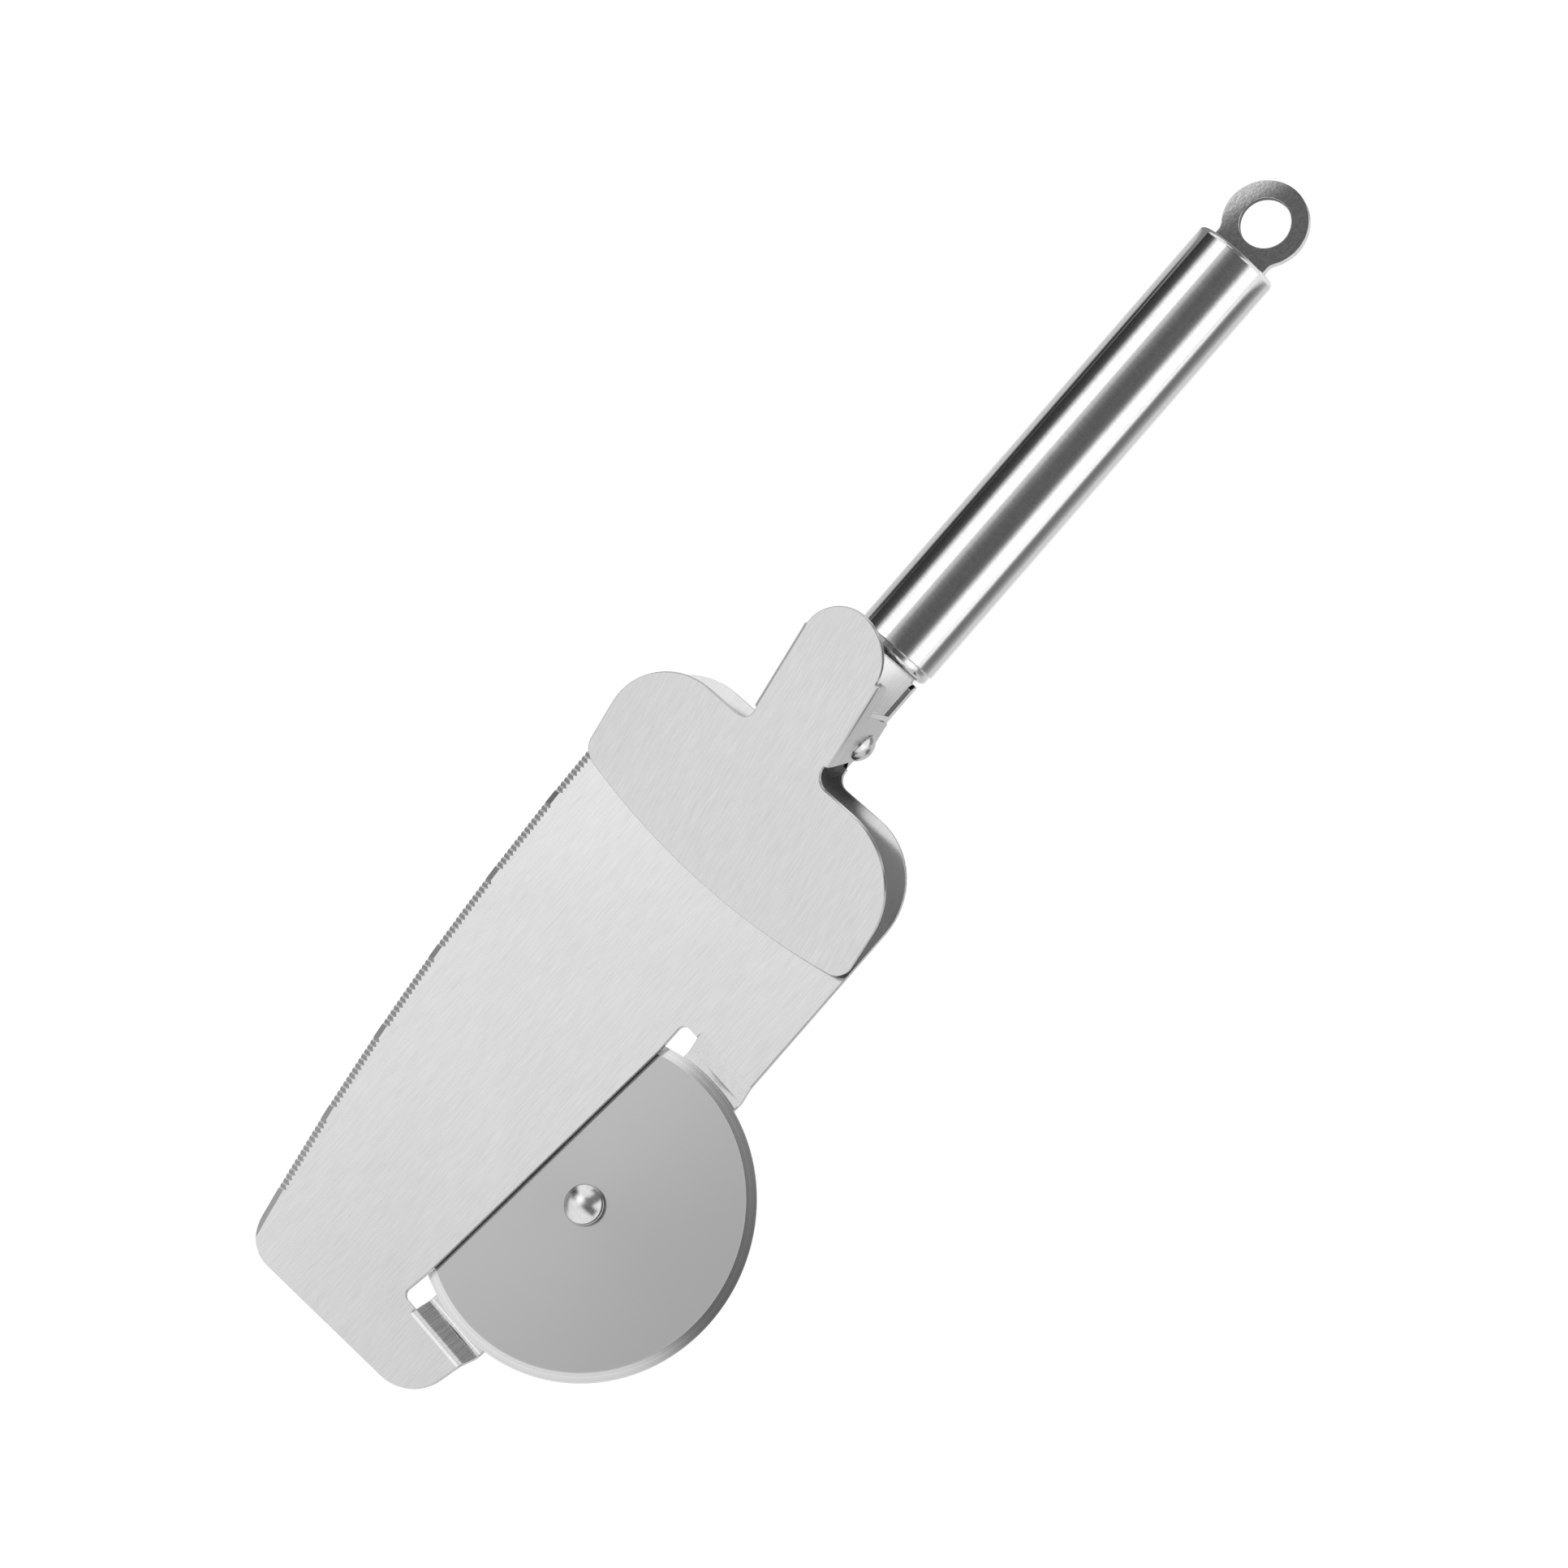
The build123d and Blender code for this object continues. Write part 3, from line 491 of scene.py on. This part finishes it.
def serrated_side_stays_sharp(tree, place):
    """One on the sheet, near zero on the ground bevel of the serrated side."""
    from_centre = add_node(
        tree, "ShaderNodeVectorMath", {"operation": "SUBTRACT"}, Vector=place,
    )
    from_centre.inputs[1].default_value = (*SERRATED_CENTRE, 0.0)
    flat = add_node(
        tree, "ShaderNodeVectorMath", {"operation": "MULTIPLY"}, Vector=from_centre.outputs[0],
    )
    flat.inputs[1].default_value = (1.0, 1.0, 0.0)
    distance = add_node(
        tree, "ShaderNodeVectorMath", {"operation": "LENGTH"}, Vector=flat.outputs[0]
    )
    return ease(tree, distance.outputs["Value"], *SERRATED_SHARP, 1.0, SHARP_EDGE_SHARE)


def facing_parts(tree):
    """How far the surface faces along X, Y and Z."""
    geometry = tree.nodes.new("ShaderNodeNewGeometry")
    return add_node(tree, "ShaderNodeSeparateXYZ", Vector=geometry.outputs["Normal"])


def presser_shade(tree, place):
    """Painted shade on the plate's underside, but for the thumb tab's, and on its front edge."""
    facing = facing_parts(tree)
    along = add_node(tree, "ShaderNodeSeparateXYZ", Vector=place).outputs["X"]
    underside = ease(tree, facing.outputs["Z"], *UNDERSIDE)
    wing = ease(tree, along, *WING_BEGINS, 0.0, WING_PAINTED_SHADE)
    painted_shade = calculate(tree, "MULTIPLY", underside, wing)
    cut_end = calculate(
        tree, "MULTIPLY",
        ease(tree, facing.outputs["X"], *FRONT_EDGE, 0.0, FRONT_EDGE_PAINTED_SHADE),
        ease(tree, along, *FRONT_EDGE_BEGINS),
    )
    painted_shade = calculate(tree, "MAXIMUM", painted_shade, cut_end)
    return calculate(tree, "SUBTRACT", 1.0, painted_shade)


def joggle_streaks(tree, place):
    """The fine drag marks that pressing leaves along the joggle."""
    along = add_node(tree, "ShaderNodeMapping", Vector=place, Scale=(120.0, 2200.0, 0.0))
    marks = add_node(
        tree, "ShaderNodeTexNoise", {"noise_dimensions": "2D"}, Vector=along.outputs[0],
        Scale=1.0, Detail=2.0, Roughness=0.6,
    )
    return ease(tree, marks.outputs["Fac"], 0.30, 0.70)


def blade_shade(tree, place):
    """Painted light on the neck's floor, painted shade on its lugs' cut edges, and drag marks on
    the joggle darkened with painted shade.
    """
    parts = add_node(tree, "ShaderNodeSeparateXYZ", Vector=place)
    painted_light_and_shade = ease(tree, parts.outputs["X"], *NECK_FLOOR_BEGINS, 1.0, NECK_FLOOR_PAINTED_LIGHT)
    # Painted shade on the lugs' top edges above the neck floor
    lug_edge = calculate(
        tree, "MULTIPLY", ease(tree, facing_parts(tree).outputs["Z"], *UPPER_SIDE),
        ease(tree, parts.outputs["Z"], *LUG_EDGES_BEGIN, 0.0, LUG_EDGE_PAINTED_SHADE),
    )
    lug_edge = calculate(
        tree, "MULTIPLY", lug_edge, ease(tree, parts.outputs["X"], *LUGS_BEGIN)
    )
    painted_light_and_shade = calculate(tree, "MULTIPLY", painted_light_and_shade, calculate(tree, "SUBTRACT", 1.0, lug_edge))
    ramp = calculate(
        tree, "MULTIPLY", ease(tree, facing_parts(tree).outputs["X"], *RING_RAMP),
        ease(tree, parts.outputs["Y"], *WHEEL_SIDE_BEGINS),
    )
    # Streaks of painted shade in the ramp's dark band on the wheel side, laid out as drag marks
    marked = calculate(tree, "MULTIPLY", ramp, joggle_streaks(tree, place))
    return calculate(
        tree, "MULTIPLY", painted_light_and_shade, ease(tree, marked, 0.0, 1.0, 1.0, DRAG_MARK_PAINTED_SHADE)
    )


def lean_by(tree, normal, offset):
    """A normal leant over by an offset."""
    leaning = add_node(tree, "ShaderNodeVectorMath", {"operation": "ADD"}, Vector=normal)
    tree.links.new(offset, leaning.inputs[1])
    unit = add_node(
        tree, "ShaderNodeVectorMath", {"operation": "NORMALIZE"}, Vector=leaning.outputs[0]
    )
    return unit.outputs[0]


def joggle_tilt(tree, place, normal):
    """The joggle's ramps and bends on the wheel side are worn rounder than they are drawn."""
    facing = add_node(tree, "ShaderNodeSeparateXYZ", Vector=normal).outputs["X"]
    along = add_node(tree, "ShaderNodeSeparateXYZ", Vector=place).outputs["X"]
    lift = calculate(
        tree, "MULTIPLY", ease(tree, facing, *TIP_RAMP, 0.0, TIP_RAMP_LIFT),
        ease(tree, along, *STRIP_BEGINS),
    )
    streaks = calculate(
        tree, "MULTIPLY_ADD", joggle_streaks(tree, place), DRAG_MARK_SHIFT,
        -DRAG_MARK_SHIFT / 2,
    )
    worn = calculate(
        tree, "MULTIPLY", ease(tree, facing, *BEND_TO_RING),
        ease(
            tree, calculate(tree, "ADD", facing, streaks), *RING_RAMP_TO_BEND,
            0.0, RING_BEND_LIFT,
        ),
    )
    aside = calculate(tree, "MULTIPLY", ease(tree, facing, *BEND_ASIDE), BEND_LEAN)
    across = add_node(tree, "ShaderNodeSeparateXYZ", Vector=place).outputs["Y"]
    wheel_side = ease(tree, across, *WHEEL_SIDE_BEGINS)
    lift = calculate(tree, "MULTIPLY", calculate(tree, "ADD", lift, worn), wheel_side)
    aside = calculate(tree, "MULTIPLY", aside, wheel_side)
    offset = add_node(tree, "ShaderNodeCombineXYZ", X=0.0, Y=aside, Z=lift)
    return lean_by(tree, normal, offset.outputs[0])


def tube_shade(tree, place):
    """Painted shade on the serrated side of the rolled front rim."""
    parts = add_node(tree, "ShaderNodeSeparateXYZ", Vector=place)
    rim = ease(tree, parts.outputs["X"], *RIM_BEGINS)
    rim_shade = ease(tree, parts.outputs["Y"], *RIM_SHADE_BEGINS, 0.0, RIM_PAINTED_SHADE)
    return calculate(tree, "SUBTRACT", 1.0, calculate(tree, "MULTIPLY", rim, rim_shade))


def ring_tilt(tree, place, normal):
    """The ring's stamped face leans a little towards the wheel side, but for one bright arc."""
    parts = add_node(tree, "ShaderNodeSeparateXYZ", Vector=place)
    towards_arc = calculate(tree, "MULTIPLY", parts.outputs["X"], RING_ARC[0])
    towards_arc = calculate(tree, "MULTIPLY_ADD", parts.outputs["Y"], RING_ARC[1], towards_arc)
    lean = ease(tree, towards_arc, *ARC_BEGINS, *RING_LEANS)
    offset = add_node(tree, "ShaderNodeCombineXYZ", X=0.0, Y=lean, Z=0.0)
    return lean_by(tree, normal, offset.outputs[0])


def turned_steel(name, colour, rough, centre, grain, edge, rings_from, bevel=1.0, stretch=0.3):
    """Steel turned on a lathe: fine rings round a centre, as on the wheel and the washers."""
    material, tree, shader, place = blank_material(name)
    centred = add_node(
        tree, "ShaderNodeMapping", Vector=place, Location=(-centre[0], -centre[1], -centre[2])
    )
    parts = add_node(tree, "ShaderNodeSeparateXYZ", Vector=centred.outputs[0])
    flat = add_node(
        tree, "ShaderNodeCombineXYZ", X=parts.outputs["X"], Y=parts.outputs["Y"], Z=0.0
    )
    radius = add_node(
        tree, "ShaderNodeVectorMath", {"operation": "LENGTH"}, Vector=flat.outputs[0]
    )
    distance = radius.outputs["Value"]
    ring_place = add_node(
        tree, "ShaderNodeCombineXYZ", X=0.0, Y=distance, Z=parts.outputs["Z"]
    )
    on_bevel = ease(tree, distance, rings_from - RINGS_FADE, rings_from, FLAT_RINGS_SHARE, 1.0)
    scratches = use_group(
        tree, brushed_grain_group(), Vector=ring_place.outputs[0], Fine_Width=3500.0,
        Length=1.0, Strength=calculate(tree, "MULTIPLY", on_bevel, grain),
    )
    clouds = use_group(tree, cloudy_group(), Vector=place, Size=30.0, Low=0.99, High=1.01)
    shade = calculate(tree, "MULTIPLY", scratches.outputs["Shade"], clouds.outputs["Value"])
    # Painted light towards the serrated side, painted shade towards the wheel side
    across = ease(tree, parts.outputs["Y"], -rings_from, rings_from, *WHEEL_PAINTED_LIGHT_AND_SHADE)
    shade = calculate(tree, "MULTIPLY", shade, across)
    # Painted highlight on the ground bevel
    ground = ease(tree, distance, rings_from - BEVEL_LINE, rings_from + BEVEL_LINE, 1.0, bevel)
    shade = calculate(tree, "MULTIPLY", shade, ground)
    tree.links.new(tinted(tree, colour, shade), shader.inputs["Base Color"])
    rough_value = calculate(
        tree, "MULTIPLY_ADD", scratches.outputs["Mask"], TURNED_ROUGHENING * grain, rough
    )
    tree.links.new(rough_value, shader.inputs["Roughness"])
    shader.inputs["Metallic"].default_value = 1.0
    shader.inputs["Anisotropic"].default_value = stretch
    outwards = add_node(
        tree, "ShaderNodeVectorTransform",
        {"vector_type": "VECTOR", "convert_from": "OBJECT", "convert_to": "WORLD"},
        Vector=flat.outputs[0],
    )
    tree.links.new(outwards.outputs[0], shader.inputs["Tangent"])
    rounded = add_node(tree, "ShaderNodeBevel", {"samples": 4}, Radius=edge)
    relief = add_node(
        tree, "ShaderNodeBump", Strength=0.03, Distance=RELIEF_DEPTH,
        Height=scratches.outputs["Height"], Normal=rounded.outputs[0],
    )
    tree.links.new(relief.outputs[0], shader.inputs["Normal"])
    return material


def polished_steel(name, colour, rough, edge):
    """Smooth steel with a faint uneven polish, for rivets and wire."""
    material, tree, shader, place = blank_material(name)
    clouds = use_group(tree, cloudy_group(), Vector=place, Size=900.0, Low=0.93, High=1.05)
    tree.links.new(tinted(tree, colour, clouds.outputs["Value"]), shader.inputs["Base Color"])
    spots = use_group(tree, cloudy_group(), Vector=place, Size=2500.0, Low=0.85, High=1.3)
    rough_value = calculate(tree, "MULTIPLY", spots.outputs["Value"], rough)
    tree.links.new(rough_value, shader.inputs["Roughness"])
    shader.inputs["Metallic"].default_value = 1.0
    rounded = add_node(tree, "ShaderNodeBevel", {"samples": 4}, Radius=edge)
    relief = add_node(
        tree, "ShaderNodeBump", Strength=0.02, Distance=RELIEF_DEPTH,
        Height=spots.outputs["Value"], Normal=rounded.outputs[0],
    )
    tree.links.new(relief.outputs[0], shader.inputs["Normal"])
    return material


def moulded_plastic(name, colour):
    """Dark plastic with a fine mould texture, for the plug inside the tube."""
    material, tree, shader, place = blank_material(name)
    clouds = use_group(tree, cloudy_group(), Vector=place, Size=400.0, Low=0.7, High=1.3)
    tree.links.new(tinted(tree, colour, clouds.outputs["Value"]), shader.inputs["Base Color"])
    shader.inputs["Roughness"].default_value = 0.45
    fine = add_node(
        tree, "ShaderNodeTexNoise", {"noise_dimensions": "3D"}, Vector=place, Scale=4000.0,
        Detail=2.0,
    )
    relief = add_node(
        tree, "ShaderNodeBump", Strength=0.1, Distance=MOULD_DEPTH,
        Height=fine.outputs["Fac"],
    )
    tree.links.new(relief.outputs[0], shader.inputs["Normal"])
    return material


def dress(node, material):
    """Gives a piece of the frame its material."""
    mesh = NODES[node].data
    mesh.materials.clear()
    mesh.materials.append(material)
    for face in mesh.polygons:
        face.material_index = 0


class PIZZA_OT_blade(bpy.types.Operator):
    """Gives the blade its brushed steel"""

    bl_idname = "pizza_server.blade"
    bl_label = "Finish blade"

    def execute(self, context):
        finish = context.scene.pizza_steel
        dress("blade", brushed_steel(
            "Blade steel", finish.steel_colour, rough=0.17, grain=finish.grain_strength,
            edge=finish.edge_round, sharpen=serrated_side_stays_sharp, recolour=blade_shade,
            tilt=joggle_tilt,
        ))
        return {"FINISHED"}


class PIZZA_OT_presser(bpy.types.Operator):
    """Gives the presser plate its brushed steel"""

    bl_idname = "pizza_server.presser"
    bl_label = "Finish presser plate"

    def execute(self, context):
        finish = context.scene.pizza_steel
        dress("presser", brushed_steel(
            "Presser steel", finish.steel_colour, rough=0.18,
            grain_turn=(0.0, radians(-26.0), 0.0), grain=finish.grain_strength,
            edge=finish.edge_round, recolour=presser_shade,
        ))
        return {"FINISHED"}


class PIZZA_OT_handle(bpy.types.Operator):
    """Gives the handle tube, its end cap, its plug and the hanging ring their finishes"""

    bl_idname = "pizza_server.handle"
    bl_label = "Finish handle"

    def execute(self, context):
        finish = context.scene.pizza_steel
        dress("handle_tube", brushed_steel(
            "Tube steel", finish.tube_colour, rough=0.105, across=(1.0, 0.0, 0.0),
            grain_turn=(0.0, 0.0, radians(90.0)), fine_width=2400.0, length=200.0,
            grain=finish.grain_strength * 1.3, bump=0.03, edge=finish.edge_round,
            recolour=tube_shade,
        ))
        dress("hang_ring", brushed_steel(
            "Ring steel", finish.ring_colour, rough=0.16, grain=finish.grain_strength * 2.2,
            fine_width=1500.0, length=1300.0, bump=0.30, edge=finish.edge_round, stretch=0.0,
            tilt=ring_tilt,
        ))
        dress("end_cap", polished_steel(
            "Cap steel", finish.ring_colour, rough=0.35, edge=finish.edge_round
        ))
        dress("tang_plug", moulded_plastic("Plug plastic", finish.plug_colour))
        return {"FINISHED"}


class PIZZA_OT_wheel(bpy.types.Operator):
    """Gives the cutting wheel its turned steel"""

    bl_idname = "pizza_server.wheel"
    bl_label = "Finish cutting wheel"

    def execute(self, context):
        finish = context.scene.pizza_steel
        dress("cutting_wheel", turned_steel(
            "Wheel steel", finish.wheel_colour, rough=0.16, centre=WHEEL_CENTRE,
            grain=finish.grain_strength * 2.0, edge=finish.edge_round * TURNED_EDGE_SHARE,
            rings_from=WHEEL_RADIUS - BEVEL_WIDTH, bevel=BEVEL_PAINTED_HIGHLIGHT,
        ))
        return {"FINISHED"}


class PIZZA_OT_fastenings(bpy.types.Operator):
    """Gives the rivet, its washers, the pivot pin and the spring their finishes"""

    bl_idname = "pizza_server.fastenings"
    bl_label = "Finish rivet, pin and spring"

    def execute(self, context):
        finish = context.scene.pizza_steel
        washer = turned_steel(
            "Washer steel", finish.wheel_colour, rough=0.22, centre=WHEEL_CENTRE,
            grain=finish.grain_strength, edge=finish.edge_round * TURNED_EDGE_SHARE,
            rings_from=RIVET_RADIUS,
        )
        dress("upper_washer", washer)
        dress("lower_washer", washer)
        rivet = polished_steel(
            "Rivet steel", finish.tube_colour, rough=0.21,
            edge=finish.edge_round * RIVET_EDGE_SHARE,
        )
        dress("wheel_rivet", rivet)
        dress("pivot_pin", rivet)
        wire = polished_steel("Spring wire", finish.ring_colour, rough=0.3, edge=WIRE_EDGE)
        dress("torsion_spring", wire)
        return {"FINISHED"}


class PIZZA_OT_stage(bpy.types.Operator):
    """Builds the floor, the studio light and the camera"""

    bl_idname = "pizza_server.stage"
    bl_label = "Build stage"

    def execute(self, context):
        studio = context.scene.pizza_studio
        self.build_floor(context, studio)
        self.build_world(context, studio)
        self.build_lamp(context, studio)
        self.build_camera(context, studio)
        view = context.scene.view_settings
        view.view_transform = "Standard"
        return {"FINISHED"}

    def build_floor(self, context, studio):
        """The white sheet, with the strips that only the steel sees in it"""
        sheet = bmesh.new()
        bmesh.ops.create_grid(sheet, x_segments=2, y_segments=2, size=FLOOR_HALF)
        bmesh.ops.translate(sheet, verts=sheet.verts, vec=(FLOOR_MIDDLE, 0.0, FLOOR_HEIGHT))
        mesh = bpy.data.meshes.new("floor")
        sheet.to_mesh(mesh)
        sheet.free()
        floor = bpy.data.objects.new("floor", mesh)
        context.scene.collection.objects.link(floor)
        material = bpy.data.materials.new("Floor sheet")
        material.use_nodes = True
        tree = material.node_tree
        tree.nodes.clear()
        output = tree.nodes.new("ShaderNodeOutputMaterial")
        matt = add_node(tree, "ShaderNodeBsdfDiffuse", Color=(*studio.floor_colour, 1.0))
        path = tree.nodes.new("ShaderNodeLightPath")
        place = tree.nodes.new("ShaderNodeTexCoord").outputs["Object"]
        parts = add_node(tree, "ShaderNodeSeparateXYZ", Vector=place)
        strips = strip_ramp(tree, parts.outputs["Y"], SHEET_STRIPS)
        under_ring = strip_ramp(tree, parts.outputs["Y"], RING_STRIPS)
        strips = mixed_colour(
            tree, ease(tree, parts.outputs["X"], *UNDER_RING), strips, under_ring
        )
        past_handle = ease(tree, parts.outputs["X"], *UNDER_BLADE)
        under_pin = strip_ramp(tree, parts.outputs["Y"], PIN_STRIPS)
        past_pin = calculate(
            tree, "ABSOLUTE", calculate(tree, "SUBTRACT", parts.outputs["X"], PIN_PLACE)
        )
        past_pin = ease(tree, past_pin, *PIN_STRIPS_FADE)
        under_blade = mixed_colour(tree, past_pin, under_pin, grey(SHEET_PALE))
        strips = mixed_colour(tree, past_handle, strips, under_blade)
        white = add_node(
            tree, "ShaderNodeEmission", Color=(1.0, 1.0, 1.0, 1.0), Strength=SHEET_SEEN
        )
        shown = add_node(tree, "ShaderNodeEmission", Color=strips, Strength=STUDIO_GAIN)
        seen = mixed_shader(tree, SHEET_OWN_SHARE, matt, white)
        direct = mixed_shader(tree, path.outputs["Is Camera Ray"], matt, seen)
        reflected = calculate(
            tree, "MAXIMUM", path.outputs["Is Glossy Ray"], path.outputs["Is Transmission Ray"]
        )
        mirrored = mixed_shader(tree, reflected, direct, shown)
        tree.links.new(mirrored.outputs[0], output.inputs["Surface"])
        mesh.materials.append(material)

    def build_world(self, context, studio):
        """An even light, and the strips and windows that only the steel sees"""
        world = bpy.data.worlds.new("Studio")
        context.scene.world = world
        world.use_nodes = True
        tree = world.node_tree
        tree.nodes.clear()
        output = tree.nodes.new("ShaderNodeOutputWorld")
        room = add_node(
            tree, "ShaderNodeBackground", Color=(1.0, 1.0, 1.0, 1.0), Strength=studio.room_light
        )
        direction = tree.nodes.new("ShaderNodeTexCoord").outputs["Generated"]
        parts = add_node(tree, "ShaderNodeSeparateXYZ", Vector=direction)
        turn = calculate(tree, "ARCTAN2", parts.outputs["Y"], parts.outputs["Z"])
        degrees_round = calculate(tree, "MULTIPLY", turn, 180.0 / pi)
        strips = strip_ramp(tree, degrees_round, STUDIO_STRIPS)
        towards_tip = ease(tree, parts.outputs["X"], *SIDES_DIM_X, 1.0, SIDES_AT_TIP)
        sides = tinted(tree, strips, towards_tip)
        by_serrated = calculate(
            tree, "MULTIPLY", ease(tree, parts.outputs["X"], *SERRATED_CORNER_X),
            ease(tree, parts.outputs["Y"], *SERRATED_CORNER_Y),
        )
        sides = mixed_colour(tree, by_serrated, sides, grey(SERRATED_CORNER))
        tip_end = strip_ramp(tree, parts.outputs["Z"], TIP_END)
        tip_corner = calculate(
            tree, "MULTIPLY", ease(tree, parts.outputs["Y"], *TIP_CORNER_Y),
            ease(tree, parts.outputs["Z"], *TIP_CORNER_Z, 0.0, TIP_CORNER_DIMMING),
        )
        tip_end = tinted(tree, tip_end, calculate(tree, "SUBTRACT", 1.0, tip_corner))
        ring_end = ease(
            tree, self.ring_end_windows(tree, parts), 0.0, 1.0,
            linear(RING_END_DARK), linear(RING_END_BRIGHT),
        )
        past_middle = ease(tree, parts.outputs["X"], *RING_END_TO_TIP_END_X)
        ends = mixed_colour(tree, past_middle, ring_end, tip_end)
        lengthwise = calculate(tree, "ABSOLUTE", parts.outputs["X"])
        all_round = mixed_colour(tree, ease(tree, lengthwise, *SIDES_TO_ENDS_X), sides, ends)
        studio_light = add_node(
            tree, "ShaderNodeBackground", Color=all_round, Strength=STUDIO_GAIN
        )
        path = tree.nodes.new("ShaderNodeLightPath")
        mixed = mixed_shader(tree, path.outputs["Is Glossy Ray"], room, studio_light)
        tree.links.new(mixed.outputs[0], output.inputs["Surface"])

    def ring_end_windows(self, tree, parts):
        """One in the bright windows past the hanging ring, zero on the dark wall round them"""
        foot = calculate(
            tree, "MAXIMUM", ease(tree, parts.outputs["Z"], *WINDOW_FOOT_Z),
            ease(tree, parts.outputs["Y"], *WINDOW_ASIDE_Y),
        )
        top = calculate(
            tree, "MAXIMUM", ease(tree, parts.outputs["Z"], *WINDOW_TOP_Z),
            ease(tree, parts.outputs["Y"], *WINDOW_TOP_ASIDE_Y),
        )
        window = calculate(
            tree, "MULTIPLY", ease(tree, parts.outputs["Y"], *WINDOW_SIDE_Y), foot
        )
        window = calculate(tree, "MULTIPLY", window, top)
        by_wheel = ease(tree, parts.outputs["Y"], *WHEEL_WINDOW_Y)
        return calculate(tree, "MAXIMUM", window, by_wheel)

    def build_lamp(self, context, studio):
        """A large soft lamp above the tool, which the steel doesn't mirror"""
        lamp = bpy.data.lights.new("key", "AREA")
        lamp.shape = "RECTANGLE"
        lamp.size, lamp.size_y = KEY_SIZE
        lamp.energy = studio.key_power
        key = bpy.data.objects.new("key", lamp)
        context.scene.collection.objects.link(key)
        key.location = KEY_PLACE
        aim = Vector(TOOL_MIDDLE) - key.location
        key.rotation_euler = aim.to_track_quat("-Z", "Y").to_euler()
        key.visible_glossy = False
        key.visible_camera = False

    def build_camera(self, context, studio):
        """The camera where the photograph's stood"""
        data = bpy.data.cameras.new("photo camera")
        data.lens = studio.lens
        data.sensor_width = 36.0
        data.clip_start = 0.05
        data.clip_end = 50.0
        camera = bpy.data.objects.new("photo camera", data)
        context.scene.collection.objects.link(camera)
        right = Vector(CAMERA_RIGHT)
        back = Vector(CAMERA_BACK).normalized()
        right = (right - back * right.dot(back)).normalized()
        up = back.cross(right)
        turned = Matrix((right, up, back)).transposed().to_4x4()
        camera.matrix_world = Matrix.Translation(Vector(studio.camera_place)) @ turned
        context.scene.camera = camera


class PIZZA_PT_panel(bpy.types.Panel):
    """The sizes, colours and steps of the pizza server"""

    bl_idname = "PIZZA_PT_panel"
    bl_label = "Pizza server"
    bl_space_type = "VIEW_3D"
    bl_region_type = "UI"
    bl_category = "Pizza server"

    def draw(self, context):
        layout = self.layout
        finish = context.scene.pizza_steel
        studio = context.scene.pizza_studio
        column = layout.column(align=True)
        for name in ("steel_colour", "tube_colour", "wheel_colour", "ring_colour", "plug_colour",
                     "grain_strength", "edge_round"):
            column.prop(finish, name)
        column = layout.column(align=True)
        for name in ("room_light", "key_power", "floor_colour", "camera_place", "lens"):
            column.prop(studio, name)
        column = layout.column(align=True)
        for step in STEPS:
            column.operator(step.bl_idname)


STEPS = (
    PIZZA_OT_blade,
    PIZZA_OT_presser,
    PIZZA_OT_handle,
    PIZZA_OT_wheel,
    PIZZA_OT_fastenings,
    PIZZA_OT_stage,
)
CLASSES = (SteelFinish, StudioSettings, *STEPS, PIZZA_PT_panel)


def register():
    """Adds the settings, the steps and the panel to Blender."""
    for item in CLASSES:
        bpy.utils.register_class(item)
    bpy.types.Scene.pizza_steel = bpy.props.PointerProperty(type=SteelFinish)
    bpy.types.Scene.pizza_studio = bpy.props.PointerProperty(type=StudioSettings)


def unregister():
    """Takes them out again."""
    del bpy.types.Scene.pizza_studio
    del bpy.types.Scene.pizza_steel
    for item in reversed(CLASSES):
        bpy.utils.unregister_class(item)


def main():
    """Finishes the part step by step."""
    register()
    bpy.ops.pizza_server.blade()
    bpy.ops.pizza_server.presser()
    bpy.ops.pizza_server.handle()
    bpy.ops.pizza_server.wheel()
    bpy.ops.pizza_server.fastenings()
    bpy.ops.pizza_server.stage()


if __name__ == "__main__":
    main()
